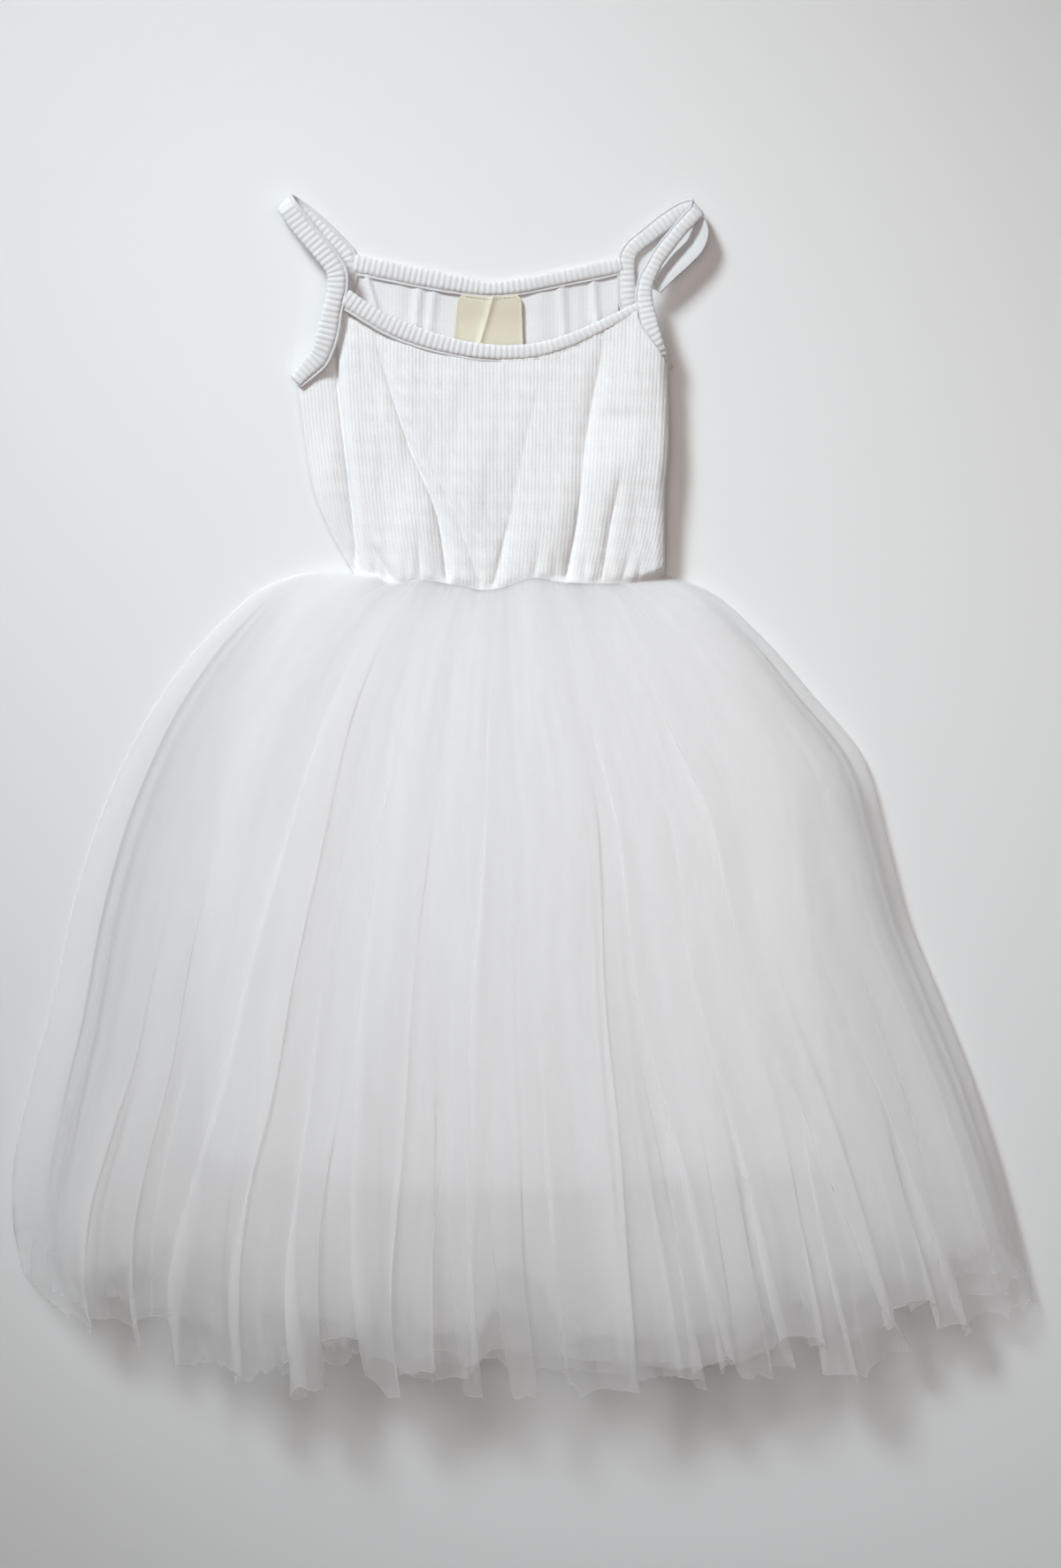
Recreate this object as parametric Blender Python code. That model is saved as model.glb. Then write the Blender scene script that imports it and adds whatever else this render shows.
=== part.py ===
# A child's tutu dress laid flat on its back: a rib-knit camisole bodice with bound neckline
# and straps, over a gathered skirt of three tulle layers and a shorter knit lining.
# X runs across the dress, Y from the hem to the shoulders, Z up from the surface it lies on.
# Sizes are in millimetres, and MM turns them into Blender's metres when a mesh is made.
import math

import bmesh
import bpy
import numpy as np

MM = 0.001

SEAM_GAP = 0.3
# An armhole edge is steep, so a panel's columns cut its curve short by up to this much.
EDGE_ALLOWANCE = 0.75
# The right strap turns down onto the bodice's side, where its thickness also reaches sideways.
SIDE_TURN_ALLOWANCE = 0.6
KNIT_WALL = 1.3
TULLE_WALL = 1.0
LABEL_WALL = 1.0

# Waist seam, from its left end to its right end. The seam sags a little between them.
WAIST_LEFT = (-79.0, 98.0)
WAIST_RIGHT = (63.0, 98.0)
WAIST_SAG = 6.5

# ---------------------------------------------------------------- skirt sizes

EDGE_COLUMNS = ("x", "y")
SKIRT_LEFT_EDGE = (
    (-79.0, 98.0),
    (-93.0, 99.2),
    (-114.6, 93.6),
    (-136.2, 76.8),
    (-154.2, 56.8),
    (-172.6, 29.2),
    (-191.0, -10.4),
    (-203.4, -50.4),
    (-212.6, -93.2),
    (-223.4, -133.2),
    (-231.2, -176.0),
    (-231.4, -191.2),
    (-226.2, -218.8),
)
SKIRT_RIGHT_EDGE = (
    (63.0, 98.0),
    (81.4, 92.0),
    (105.8, 72.0),
    (127.4, 47.6),
    (155.0, 12.4),
    (163.8, -19.6),
    (173.0, -54.8),
    (187.0, -90.0),
    (203.8, -133.2),
    (216.2, -172.8),
    (231.4, -230.8),
)
SKIRT_HEM = (
    (-226.2, -218.8),
    (-193.0, -242.0),
    (-165.0, -251.0),
    (-141.0, -258.0),
    (-95.0, -266.0),
    (-45.0, -272.0),
    (-1.0, -271.0),
    (75.0, -265.5),
    (111.0, -262.0),
    (139.0, -263.0),
    (167.0, -254.0),
    (195.0, -243.0),
    (231.4, -230.8),
)
# How far the side edges' bulge reaches towards the middle: a higher power, a shorter reach.
EDGE_REACH = 3.0

# Rows from waist to hem: the share of the way down, and the pile's height at mid width.
ROW_COLUMNS = ("down", "height")
SKIRT_ROWS = (
    (0.000, 10.0),
    (0.050, 13.8),
    (0.130, 18.5),
    (0.250, 24.5),
    (0.400, 29.5),
    (0.570, 33.0),
    (0.757, 35.5),
    (0.890, 37.0),
    (1.000, 37.5),
)
LINING_ROWS = 7
# Across a row the pile is flat-topped at the waist and domed at the hem, and it falls
# gently to the left edge and steeply to the right one.
DOME_POWER_WAIST = 9.0
DOME_POWER_HEM = 3.2
DOME_REACHED_AT = 0.4
FALL_LEFT = 0.85
FALL_RIGHT = 0.50
ROW_CLEARANCE = 1.0
PROFILE_SAMPLES = 900
SKIRT_LENGTH = 380.0

# Each tulle or lining sheet, from the lowest up. "share" is its place in the pile's height,
# "wave" the half height of its pleats at the hem as a share of that height, the insets are
# how far its edges lie inside the outermost layer's (shares of the width), and "trim" is how
# much shorter than the longest layer it is cut, as a share of the skirt's length.
SHEET_COLUMNS = (
    "name",
    "pleats",
    "share",
    "wave",
    "inset_waist",
    "inset_left",
    "inset_right",
    "trim",
    "seed",
)
SKIRT_SHEETS = (
    ("tulle_outer_back", 0, 0.00, 0.000, 0.000, 0.000, 0.000, 0.012, 0.0),
    ("tulle_middle_back", 12, 0.10, 0.050, 0.017, 0.030, 0.010, 0.000, 1.1),
    ("tulle_inner_back", 12, 0.25, 0.065, 0.034, 0.045, 0.022, 0.004, 2.3),
    ("lining_back", 0, 0.36, 0.000, 0.052, 0.170, 0.150, 0.000, 0.0),
    ("lining_front", 0, 0.43, 0.000, 0.052, 0.170, 0.150, 0.000, 0.0),
    ("tulle_inner_front", 18, 0.55, 0.070, 0.034, 0.045, 0.022, 0.006, 3.7),
    ("tulle_middle_front", 24, 0.76, 0.075, 0.017, 0.030, 0.010, 0.014, 4.9),
    ("tulle_outer_front", 36, 0.97, 0.070, 0.000, 0.000, 0.000, 0.030, 6.2),
)
PLAIN_SHEET_COLUMNS = 20
WAIST_GATHER = 0.35
HEM_FLUTE = 3.0
# Pleats are uneven: two slow waves shift them sideways, by this share of a column each, and
# a third one changes their depth. The numbers of waves are in radians across a sheet.
PLEAT_UNEVEN = 0.30
SHIFT_WAVES = (23.0, 61.0)
DEPTH_WAVE = 37.0
DEPTH_MIDDLE = 0.72
DEPTH_SWING = 0.28
HEM_WAVE = 19.0
# A wall is made taller where its sheet slopes, so that it stays as thick, up to this slope.
STEEPEST_WALL = 1.5
NARROWEST_COLUMN = 0.2

# --------------------------------------------------------------- bodice sizes

BODICE_LEFT_SIDE = (
    (-79.0, 98.0),
    (-82.2, 107.2),
    (-88.3, 118.8),
    (-95.2, 137.2),
    (-99.0, 160.0),
    (-102.0, 181.5),
)
BODICE_RIGHT_SIDE = (
    (63.0, 98.0),
    (63.8, 134.0),
    (65.8, 158.0),
    (65.6, 186.0),
)
BODICE_ROWS = (0.0, 0.08, 0.20, 0.36, 0.53, 0.70, 0.86, 1.0)
BACK_ROWS = (0.0, 0.20, 0.45, 0.75, 1.0)
RIB_COUNT = 69
RIB_HEIGHT = 0.4
# The plain inner face has one column to this many of the ribbed face's.
INNER_STEP = 6
# A panel's first row stands this much clear of the waist seam's edge.
WAIST_CLEARANCE = 0.4
# The back panel's columns, closer together under the armholes where its edge is steep.
BACK_LEFT_ARM_END = 0.21
BACK_RIGHT_ARM_START = 0.84
BACK_LEFT_COLUMNS = 15
BACK_MIDDLE_COLUMNS = 14
BACK_RIGHT_COLUMNS = 12

# Height of the front panel's face over the surface, from the left side to the right.
FRONT_MIDDLE_ROW = 0.45
FRONT_HEIGHT_COLUMNS = ("across", "at_waist", "at_middle", "at_top")
FRONT_HEIGHTS = (
    (0.000, 2.9, 2.9, 2.9),
    (0.060, 7.9, 5.5, 4.7),
    (0.160, 10.2, 7.7, 7.3),
    (0.320, 10.5, 9.3, 8.5),
    (0.500, 10.5, 9.5, 8.5),
    (0.700, 10.6, 11.1, 10.3),
    (0.860, 10.7, 13.9, 13.1),
    (0.950, 10.4, 14.7, 13.9),
    (0.980, 8.3, 11.8, 11.3),
    (1.000, 2.9, 2.9, 2.9),
)

# The front panel's folds, from the waist up: the fold's line as x at four heights, its depth,
# its half width, the height at which it has faded out, and how high the ridge beside it stands.
FOLD_HEIGHTS = (92.0, 122.0, 158.0, 202.0)
FOLD_FADE_LENGTH = 22.0
# The ridge lies this many half widths to the right of its fold.
RIDGE_OFFSET = 1.9
# Folds are shallow where the panel is less than this much higher than its own left edge.
FOLD_ROOM = 4.0
FOLD_COLUMNS = ("x1", "x2", "x3", "x4", "depth", "width", "fade_y", "ridge")
BODICE_FOLDS = (
    (-73.8, -77.4, -80.8, -85.6, 3.2, 2.6, 215.0, 1.2),
    (-34.6, -38.6, -52.4, -66.4, 1.9, 2.0, 205.0, 0.9),
    (17.8, 24.4, 28.4, 36.4, 2.4, 4.2, 205.0, 0.8),
    (-14.6, -6.6, 0.0, 4.0, 1.7, 2.8, 128.0, 0.6),
    (35.0, 42.4, 51.6, 56.0, 1.9, 3.0, 160.0, 0.7),
    (-57.6, -73.0, -80.0, -84.0, 1.3, 2.4, 118.0, 0.6),
    (-21.4, -29.6, -48.0, -60.0, 1.2, 2.8, 140.0, 0.5),
    (52.0, 54.0, 57.0, 60.0, 1.2, 2.2, 124.0, 0.5),
    (4.5, 7.5, 10.0, 12.0, 1.1, 2.2, 112.0, 0.4),
    (-48.0, -51.0, -55.0, -58.0, 1.0, 2.0, 110.0, 0.4),
)

# ------------------------------------------------------- bindings and straps

BINDING_THICK = 2.4
BINDING_RIB = 0.3
BINDING_RIB_PITCH = 2.7
# A strip's lower corners this close to the surface lie on it.
LAID_FLAT_BELOW = 0.36
CURVE_STEPS = 24
STRAP_WIDTH = 10.2
NECK_WIDTH = 9.0

# The strips' centre lines. "facing" is the direction of the strip's width, in degrees from X.
STRIP_COLUMNS = ("x", "y", "z", "facing")
NECK_FRONT = (
    (-77.8, 221.2, 9.4, 55.0),
    (-73.4, 217.8, 9.4, 55.0),
    (-67.4, 213.8, 9.3, 58.0),
    (-57.8, 208.7, 9.2, 63.0),
    (-45.0, 204.2, 9.0, 73.0),
    (-29.0, 200.2, 8.9, 80.0),
    (-11.0, 198.0, 8.9, 90.0),
    (3.0, 198.8, 9.4, 98.0),
    (16.2, 201.4, 10.2, 108.0),
    (27.0, 205.4, 11.2, 113.0),
    (36.2, 209.8, 12.6, 117.0),
    (48.2, 216.4, 13.8, 119.0),
)
NECK_BACK = (
    (-73.3, 237.4, 1.2, 81.0),
    (-67.4, 236.3, 1.2, 79.0),
    (-57.4, 234.2, 1.2, 78.0),
    (-45.0, 231.6, 1.2, 79.0),
    (-29.0, 228.4, 1.2, 82.0),
    (-15.4, 227.0, 1.2, 90.0),
    (3.0, 228.8, 1.2, 100.0),
    (19.0, 232.8, 1.2, 104.0),
    (28.6, 235.0, 1.2, 102.0),
    (39.0, 236.9, 1.2, 99.0),
)
LEFT_STRAP_FRONT = (
    (-101.0, 185.6, 3.9, -40.0),
    (-96.6, 190.9, 4.4, -38.0),
    (-92.2, 197.0, 5.6, -30.0),
    (-89.0, 205.0, 7.2, -18.0),
    (-87.0, 213.6, 8.4, -11.0),
    (-85.4, 222.0, 9.2, -6.0),
    (-84.9, 229.6, 9.6, 6.0),
    (-86.9, 238.0, 9.6, 24.0),
    (-91.4, 245.2, 9.6, 36.0),
    (-97.6, 252.6, 9.4, 40.0),
    (-103.2, 259.8, 8.8, 42.0),
)
LEFT_STRAP_TIP = ((-106.8, 265.0, 5.2, 46.0),)
LEFT_STRAP_BACK = (
    (-102.4, 263.0, 1.9, 50.0),
    (-97.8, 259.6, 1.3, 49.0),
    (-92.8, 255.4, 1.2, 48.0),
    (-87.8, 250.6, 1.2, 44.0),
    (-83.4, 245.2, 1.2, 36.0),
    (-80.6, 239.4, 1.2, 20.0),
    (-79.8, 232.6, 1.2, 2.0),
    (-80.8, 223.8, 1.2, -8.0),
    (-82.8, 214.2, 1.2, -14.0),
    (-86.0, 205.2, 1.2, -24.0),
    (-90.8, 196.8, 1.2, -33.0),
    (-96.0, 190.4, 1.2, -39.0),
    (-100.8, 185.6, 1.2, -41.0),
)
RIGHT_STRAP_FRONT = (
    (65.2, 191.4, 4.2, 86.0),
    (64.8, 192.6, 8.6, 72.0),
    (63.3, 196.8, 12.2, 46.0),
    (59.8, 204.2, 14.0, 27.0),
    (56.2, 214.0, 14.6, 14.0),
    (54.6, 223.4, 14.8, 0.0),
    (56.8, 232.2, 14.8, -22.0),
    (62.4, 241.0, 14.8, -33.0),
    (68.8, 250.4, 14.4, -34.0),
    (74.2, 258.4, 13.2, -37.0),
)
RIGHT_STRAP_TIP = ((77.8, 264.0, 7.8, -45.0),)
RIGHT_STRAP_BACK = (
    (72.8, 263.2, 2.8, -53.0),
    (67.6, 260.3, 1.5, -55.0),
    (61.2, 255.8, 1.2, -52.0),
    (54.0, 249.4, 1.2, -45.0),
    (48.2, 241.8, 1.2, -26.0),
    (46.0, 233.2, 1.2, -4.0),
    (46.8, 223.0, 1.2, 11.0),
    (50.2, 212.4, 1.2, 23.0),
    (55.2, 202.9, 1.2, 32.0),
    (60.4, 195.4, 1.2, 36.0),
    (64.8, 189.6, 1.2, 38.0),
)

# -------------------------------------------------------------------- label

LABEL_LEFT = -31.8
LABEL_RIGHT = -0.2
LABEL_BOTTOM = 203.0
LABEL_CORNER = 4.0
LABEL_CREASE_TOP_X = -13.8
LABEL_CREASE_BOTTOM_X = -20.5
LABEL_CREASE_HEIGHT = 0.8
LABEL_CREASE_WIDTH = 2.2
LABEL_ROWS = (0.0, 0.06, 0.18, 0.55, 1.0)
LABEL_COLUMNS = 10
# How much of a full quarter circle the top corners are cut in by.
LABEL_CORNER_CUT = 0.6

# ---------------------------------------------------------------- materials

WHITE_KNIT = (0.86, 0.87, 0.88, 1.0)
WHITE_TULLE = (0.90, 0.90, 0.91, 1.0)
CREAM_SATIN = (0.86, 0.80, 0.62, 1.0)


def clear_scene():
    for item in list(bpy.data.objects):
        bpy.data.objects.remove(item, do_unlink=True)


def make_material(name, colour, roughness):
    material = bpy.data.materials.new(name)
    material.use_nodes = True
    shader = material.node_tree.nodes["Principled BSDF"]
    shader.inputs["Base Color"].default_value = colour
    shader.inputs["Roughness"].default_value = roughness
    shader.inputs["Metallic"].default_value = 0.0
    return material


def column(table, names, name):
    return np.array([row[names.index(name)] for row in table], float)


def smooth_curve(at, places, values):
    # A curve through the table's values with level or shared slopes, so it never overshoots.
    places = np.asarray(places, float)
    values = np.asarray(values, float)
    steps = np.diff(values) / np.diff(places)
    slopes = np.zeros(len(places))
    slopes[0] = steps[0]
    slopes[-1] = steps[-1]
    for i in range(1, len(places) - 1):
        if steps[i - 1] * steps[i] > 0:
            slopes[i] = 2.0 * steps[i - 1] * steps[i] / (steps[i - 1] + steps[i])
    at = np.clip(at, places[0], places[-1])
    k = np.clip(np.searchsorted(places, at, side="right") - 1, 0, len(places) - 2)
    span = places[k + 1] - places[k]
    t = (at - places[k]) / span
    ahead = t * t * (3.0 - 2.0 * t)
    return (
        values[k] * (1.0 - ahead)
        + values[k + 1] * ahead
        + slopes[k] * span * t * (1.0 - t) ** 2
        - slopes[k + 1] * span * t * t * (1.0 - t)
    )


def along_outline(outline, share):
    # The point a given share of the way along an outline, by length.
    x = column(outline, EDGE_COLUMNS, "x")
    y = column(outline, EDGE_COLUMNS, "y")
    far = np.concatenate([[0.0], np.cumsum(np.hypot(np.diff(x), np.diff(y)))])
    where = np.asarray(share) * far[-1]
    return np.stack([smooth_curve(where, far, x), smooth_curve(where, far, y)], axis=-1)


def waist_point(u):
    u = np.asarray(u, float)
    x = WAIST_LEFT[0] + (WAIST_RIGHT[0] - WAIST_LEFT[0]) * u
    y = WAIST_LEFT[1] + (WAIST_RIGHT[1] - WAIST_LEFT[1]) * u
    return np.stack([x, y - WAIST_SAG * np.sin(math.pi * u)], axis=-1)


def hem_point(u):
    x = SKIRT_HEM[0][0] + (SKIRT_HEM[-1][0] - SKIRT_HEM[0][0]) * np.asarray(u, float)
    hem_x = column(SKIRT_HEM, EDGE_COLUMNS, "x")
    hem_y = column(SKIRT_HEM, EDGE_COLUMNS, "y")
    return np.stack([x, smooth_curve(x, hem_x, hem_y)], axis=-1)


def skirt_point(u, v):
    # Where the outermost layer lies, seen from above: u across it, v from waist to hem.
    u = np.asarray(u, float)
    v = np.asarray(v, float) + 0.0 * u
    straight = waist_point(u) * (1.0 - v)[..., None] + hem_point(u) * v[..., None]
    left_line = np.outer(1.0 - v, waist_point(0.0)) + np.outer(v, hem_point(0.0))
    right_line = np.outer(1.0 - v, waist_point(1.0)) + np.outer(v, hem_point(1.0))
    left_bulge = along_outline(SKIRT_LEFT_EDGE, v) - left_line
    right_bulge = along_outline(SKIRT_RIGHT_EDGE, v) - right_line
    left_part = ((1.0 - u) ** EDGE_REACH)[..., None]
    right_part = (u**EDGE_REACH)[..., None]
    return straight + left_bulge * left_part + right_bulge * right_part


def pile_height(u, row):
    # Height of the whole pile of layers over the surface.
    entry = dict(zip(ROW_COLUMNS, SKIRT_ROWS[row]))
    height = entry["height"]
    domed = min(1.0, entry["down"] / DOME_REACHED_AT)
    power = DOME_POWER_WAIST + (DOME_POWER_HEM - DOME_POWER_WAIST) * domed
    fall = FALL_LEFT + (FALL_RIGHT - FALL_LEFT) * u
    return height * np.clip(1.0 - np.abs(2.0 * u - 1.0) ** power, 0.0, 1.0) ** fall


def close_wall(name, upper, lower, material):
    # One closed body from an upper and a lower grid of points with the same number of rows.
    # The lower grid may have fewer columns, by a whole factor.
    rows, fine = upper.shape[:2]
    coarse = lower.shape[1]
    step = (fine - 1) // (coarse - 1)
    first_low = rows * fine
    faces = []
    for r in range(rows - 1):
        for c in range(fine - 1):
            a = r * fine + c
            faces.append((a, a + 1, a + fine + 1, a + fine))
        for c in range(coarse - 1):
            a = first_low + r * coarse + c
            faces.append((a, a + coarse, a + coarse + 1, a + 1))
        for at_fine, at_coarse in ((0, 0), (fine - 1, coarse - 1)):
            top_here = r * fine + at_fine
            low_here = first_low + r * coarse + at_coarse
            faces.append((top_here, top_here + fine, low_here + coarse, low_here))
    for r in (0, rows - 1):
        for c in range(coarse - 1):
            low = first_low + r * coarse + c
            top = r * fine + c * step
            for i in range(step):
                faces.append((low, top + i, top + i + 1))
            faces.append((low, top + step, low + 1))
    points = np.concatenate([upper.reshape(-1, 3), lower.reshape(-1, 3)])
    return make_body(name, points, faces, material)


def make_body(name, points, faces, material):
    mesh = bpy.data.meshes.new(name)
    mesh.from_pydata([tuple(p) for p in points * MM], [], faces)
    shape = bmesh.new()
    shape.from_mesh(mesh)
    bmesh.ops.recalc_face_normals(shape, faces=shape.faces)
    shape.to_mesh(mesh)
    shape.free()
    mesh.materials.append(material)
    body = bpy.data.objects.new(name, mesh)
    bpy.context.scene.collection.objects.link(body)
    return body


def sheet_columns(pleats, seed):
    # Where a sheet's columns stand across it, a crest and a trough for each pleat.
    if pleats == 0:
        return np.linspace(0.0, 1.0, PLAIN_SHEET_COLUMNS + 1)
    count = 2 * pleats
    even = np.arange(count + 1) / count
    slow = np.sin(even * SHIFT_WAVES[0] + seed)
    quick = np.sin(even * SHIFT_WAVES[1] + 2.0 * seed)
    places = even + PLEAT_UNEVEN * (slow + quick) / count
    places[0] = 0.0
    places[-1] = 1.0
    return places


def slope_factor(points_xy, z):
    # How much taller a wall is than it is thick where the sheet slopes from column to column.
    run = np.linalg.norm(np.diff(points_xy, axis=0), axis=1)
    slope = np.abs(np.diff(z)) / np.maximum(run, NARROWEST_COLUMN)
    steepest = np.maximum(np.append(slope, 0.0), np.insert(slope, 0, 0.0))
    return np.sqrt(1.0 + np.minimum(steepest, STEEPEST_WALL) ** 2)


def lift_clear(under, columns, samples, occupied, clearance):
    # Raises a row's underside until it is clear of everything already stacked below it.
    here = np.interp(samples, columns, under)
    inside = (samples >= columns[0]) & (samples <= columns[-1])
    short = np.where(inside, occupied + clearance - here, 0.0)
    lifted = under.copy()
    for i in range(len(columns)):
        low = columns[max(i - 1, 0)]
        high = columns[min(i + 1, len(columns) - 1)]
        near = (samples >= low) & (samples <= high) & inside
        lifted[i] += max(0.0, short[near].max()) if near.any() else 0.0
    return lifted


def skirt_sheet(entry, occupied, material):
    sheet = dict(zip(SHEET_COLUMNS, entry))
    name = sheet["name"]
    is_lining = name.startswith("lining")
    is_lowest = name == SKIRT_SHEETS[0][0]
    row_count = LINING_ROWS if is_lining else len(SKIRT_ROWS)
    across = sheet_columns(sheet["pleats"], sheet["seed"])
    turn = np.where(np.arange(len(across)) % 2 == 0, 1.0, -1.0)
    vary = DEPTH_MIDDLE + DEPTH_SWING * np.sin(across * DEPTH_WAVE + sheet["seed"] * 1.7)
    samples = np.linspace(0.0, 1.0, PROFILE_SAMPLES)
    upper = np.zeros((row_count, len(across), 3))
    lower = np.zeros_like(upper)
    for row in range(row_count):
        down, height = SKIRT_ROWS[row]
        at_waist = sheet["inset_waist"] * (1.0 - down)
        inset_left = at_waist + sheet["inset_left"] * down
        inset_right = at_waist + sheet["inset_right"] * down
        u = inset_left + (1.0 - inset_left - inset_right) * across
        place = np.full(len(u), down)
        if row == row_count - 1 and not is_lining:
            flute = HEM_FLUTE * turn * vary if sheet["pleats"] else 0.0 * turn
            ragged = 0.5 + 0.5 * np.sin(across * HEM_WAVE + sheet["seed"])
            place = down - sheet["trim"] * ragged + flute / SKIRT_LENGTH
        xy = skirt_point(u, place)
        if is_lowest:
            under = np.zeros(len(u))
        elif row == 0:
            gather = WAIST_GATHER * turn if name == SKIRT_SHEETS[-1][0] else 0.0 * turn
            under = lift_clear(gather, u, samples, occupied[row], SEAM_GAP)
            under += gather - gather.min()
        else:
            wave = sheet["wave"] * height * turn * vary * down**0.5
            fade = np.clip(pile_height(u, row) / (0.5 * height), 0.0, 1.0)
            under = sheet["share"] * pile_height(u, row) + wave * fade - 0.5 * TULLE_WALL
            under = lift_clear(np.maximum(under, 0.0), u, samples, occupied[row], ROW_CLEARANCE)
        over = under + TULLE_WALL * slope_factor(xy, under)
        if is_lowest:
            over = np.full(len(u), TULLE_WALL)
        upper[row] = np.column_stack([xy, over])
        lower[row] = np.column_stack([xy, under])
        inside = (samples >= u[0]) & (samples <= u[-1])
        top_here = np.interp(samples, u, over)
        occupied[row] = np.where(inside, np.maximum(occupied[row], top_here), occupied[row])
    return close_wall(name, upper, lower, material)


def make_skirt(tulle, knit):
    occupied = np.zeros((len(SKIRT_ROWS), PROFILE_SAMPLES))
    for entry in SKIRT_SHEETS:
        material = knit if entry[0].startswith("lining") else tulle
        skirt_sheet(entry, occupied, material)


def strip_path(stations, spacing):
    # The strip's centre line and width direction at even spacing along a smooth curve.
    knots = np.array(stations, float)
    ends = np.vstack([2 * knots[0] - knots[1], knots, 2 * knots[-1] - knots[-2]])
    dense = []
    for i in range(1, len(ends) - 2):
        a, b, c, d = ends[i - 1 : i + 3]
        for t in np.linspace(0.0, 1.0, CURVE_STEPS, endpoint=False):
            bend = (2 * a - 5 * b + 4 * c - d) * t * t + (3 * b - a - 3 * c + d) * t**3
            dense.append(0.5 * (2 * b + (c - a) * t + bend))
    dense.append(ends[-2])
    dense = np.array(dense)
    steps = np.linalg.norm(np.diff(dense[:, :3], axis=0), axis=1)
    far = np.concatenate([[0.0], np.cumsum(steps)])
    count = 2 * max(2, round(far[-1] / (2.0 * spacing)))
    at = np.linspace(0.0, far[-1], count + 1)
    path = {name: np.interp(at, far, dense[:, k]) for k, name in enumerate(STRIP_COLUMNS)}
    centre = np.column_stack([path["x"], path["y"], path["z"]])
    along = np.gradient(centre, axis=0)
    along /= np.linalg.norm(along, axis=1)[:, None]
    turn = np.radians(path["facing"])
    wide = np.column_stack([np.cos(turn), np.sin(turn), 0.0 * turn])
    wide -= along * (wide * along).sum(1)[:, None]
    wide /= np.linalg.norm(wide, axis=1)[:, None]
    return centre, along, wide


def ribbed_strip(name, stations, width, material):
    # A bound edge or strap: a flat strip with a rib across it at every pitch.
    centre, along, wide = strip_path(stations, BINDING_RIB_PITCH / 2.0)
    face = np.cross(wide, along)
    crest = np.where(np.arange(len(centre)) % 2 == 0, 1.0, 0.0)
    half = (BINDING_THICK / 2.0 - BINDING_RIB * (1.0 - crest))[:, None]
    corners = [
        centre - wide * width / 2.0 + face * half,
        centre + wide * width / 2.0 + face * half,
        centre + wide * width / 2.0 - face * half,
        centre - wide * width / 2.0 - face * half,
    ]
    ring = np.stack(corners, axis=1)
    ring[..., 2] = np.where(ring[..., 2] < LAID_FLAT_BELOW, 0.0, ring[..., 2])
    faces = [(3, 2, 1, 0)]
    for s in range(len(centre) - 1):
        for k in range(4):
            a = 4 * s + k
            b = 4 * s + (k + 1) % 4
            faces.append((a, b, b + 4, a + 4))
    last = 4 * (len(centre) - 1)
    faces.append((last, last + 1, last + 2, last + 3))
    return make_body(name, ring.reshape(-1, 3), faces, material)


def strip_edge(stations, offset):
    # Seen from above, the line beside a strip at a given distance along its width direction.
    centre, _, wide = strip_path(stations, BINDING_RIB_PITCH / 2.0)
    sideways = wide[:, :2] / np.linalg.norm(wide[:, :2], axis=1)[:, None]
    return centre[:, :2] + offset * sideways


def edge_height(x, lines):
    # The lowest of several edge lines at each x, as far as each line reaches.
    best = np.full(len(x), np.inf)
    for line, reach_left, reach_right in lines:
        line = line[np.argsort(line[:, 0])]
        slope_left = (line[1, 1] - line[0, 1]) / (line[1, 0] - line[0, 0])
        slope_right = (line[-1, 1] - line[-2, 1]) / (line[-1, 0] - line[-2, 0])
        y = np.interp(x, line[:, 0], line[:, 1])
        y = np.where(x < line[0, 0], line[0, 1] + slope_left * (x - line[0, 0]), y)
        y = np.where(x > line[-1, 0], line[-1, 1] + slope_right * (x - line[-1, 0]), y)
        within = (x >= line[0, 0] - reach_left) & (x <= line[-1, 0] + reach_right)
        best = np.where(within, np.minimum(best, y), best)
    return best


def front_top(x):
    arm_gap = STRAP_WIDTH / 2.0 + SEAM_GAP + EDGE_ALLOWANCE
    neck_gap = NECK_WIDTH / 2.0 + SEAM_GAP
    return edge_height(
        x,
        (
            (strip_edge(LEFT_STRAP_FRONT[:7], arm_gap), 20.0, 1.0),
            (strip_edge(NECK_FRONT, -neck_gap), 8.0, 8.0),
            (strip_edge(RIGHT_STRAP_FRONT[:6], -arm_gap - SIDE_TURN_ALLOWANCE), 1.0, 20.0),
        ),
    )


def back_top(x):
    arm_gap = STRAP_WIDTH / 2.0 + SEAM_GAP + EDGE_ALLOWANCE
    neck_gap = NECK_WIDTH / 2.0 + SEAM_GAP
    return edge_height(
        x,
        (
            (strip_edge(LEFT_STRAP_BACK[6:], arm_gap), 20.0, 1.0),
            (strip_edge(NECK_BACK, -neck_gap), 8.0, 8.0),
            (strip_edge(RIGHT_STRAP_BACK[5:], -arm_gap), 1.0, 20.0),
        ),
    )


def side_x(outline, y):
    return smooth_curve(y, column(outline, EDGE_COLUMNS, "y"), column(outline, EDGE_COLUMNS, "x"))


def bodice_grid(across, rows, top_of):
    # Points of a bodice panel seen from above, row by row from the waist seam to its top edge.
    waist = waist_point(across)
    waist[:, 1] += WAIST_CLEARANCE
    left = BODICE_LEFT_SIDE[-1][0]
    right = BODICE_RIGHT_SIDE[-1][0]
    top_y = top_of(left + (right - left) * across)
    grid = np.zeros((len(rows), len(across), 2))
    for r, share in enumerate(rows):
        y = waist[:, 1] + (top_y - waist[:, 1]) * share
        x_left = side_x(BODICE_LEFT_SIDE, y)
        x_right = side_x(BODICE_RIGHT_SIDE, y)
        grid[r, :, 0] = x_left + (x_right - x_left) * across
        grid[r, :, 1] = y
    return grid


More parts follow.
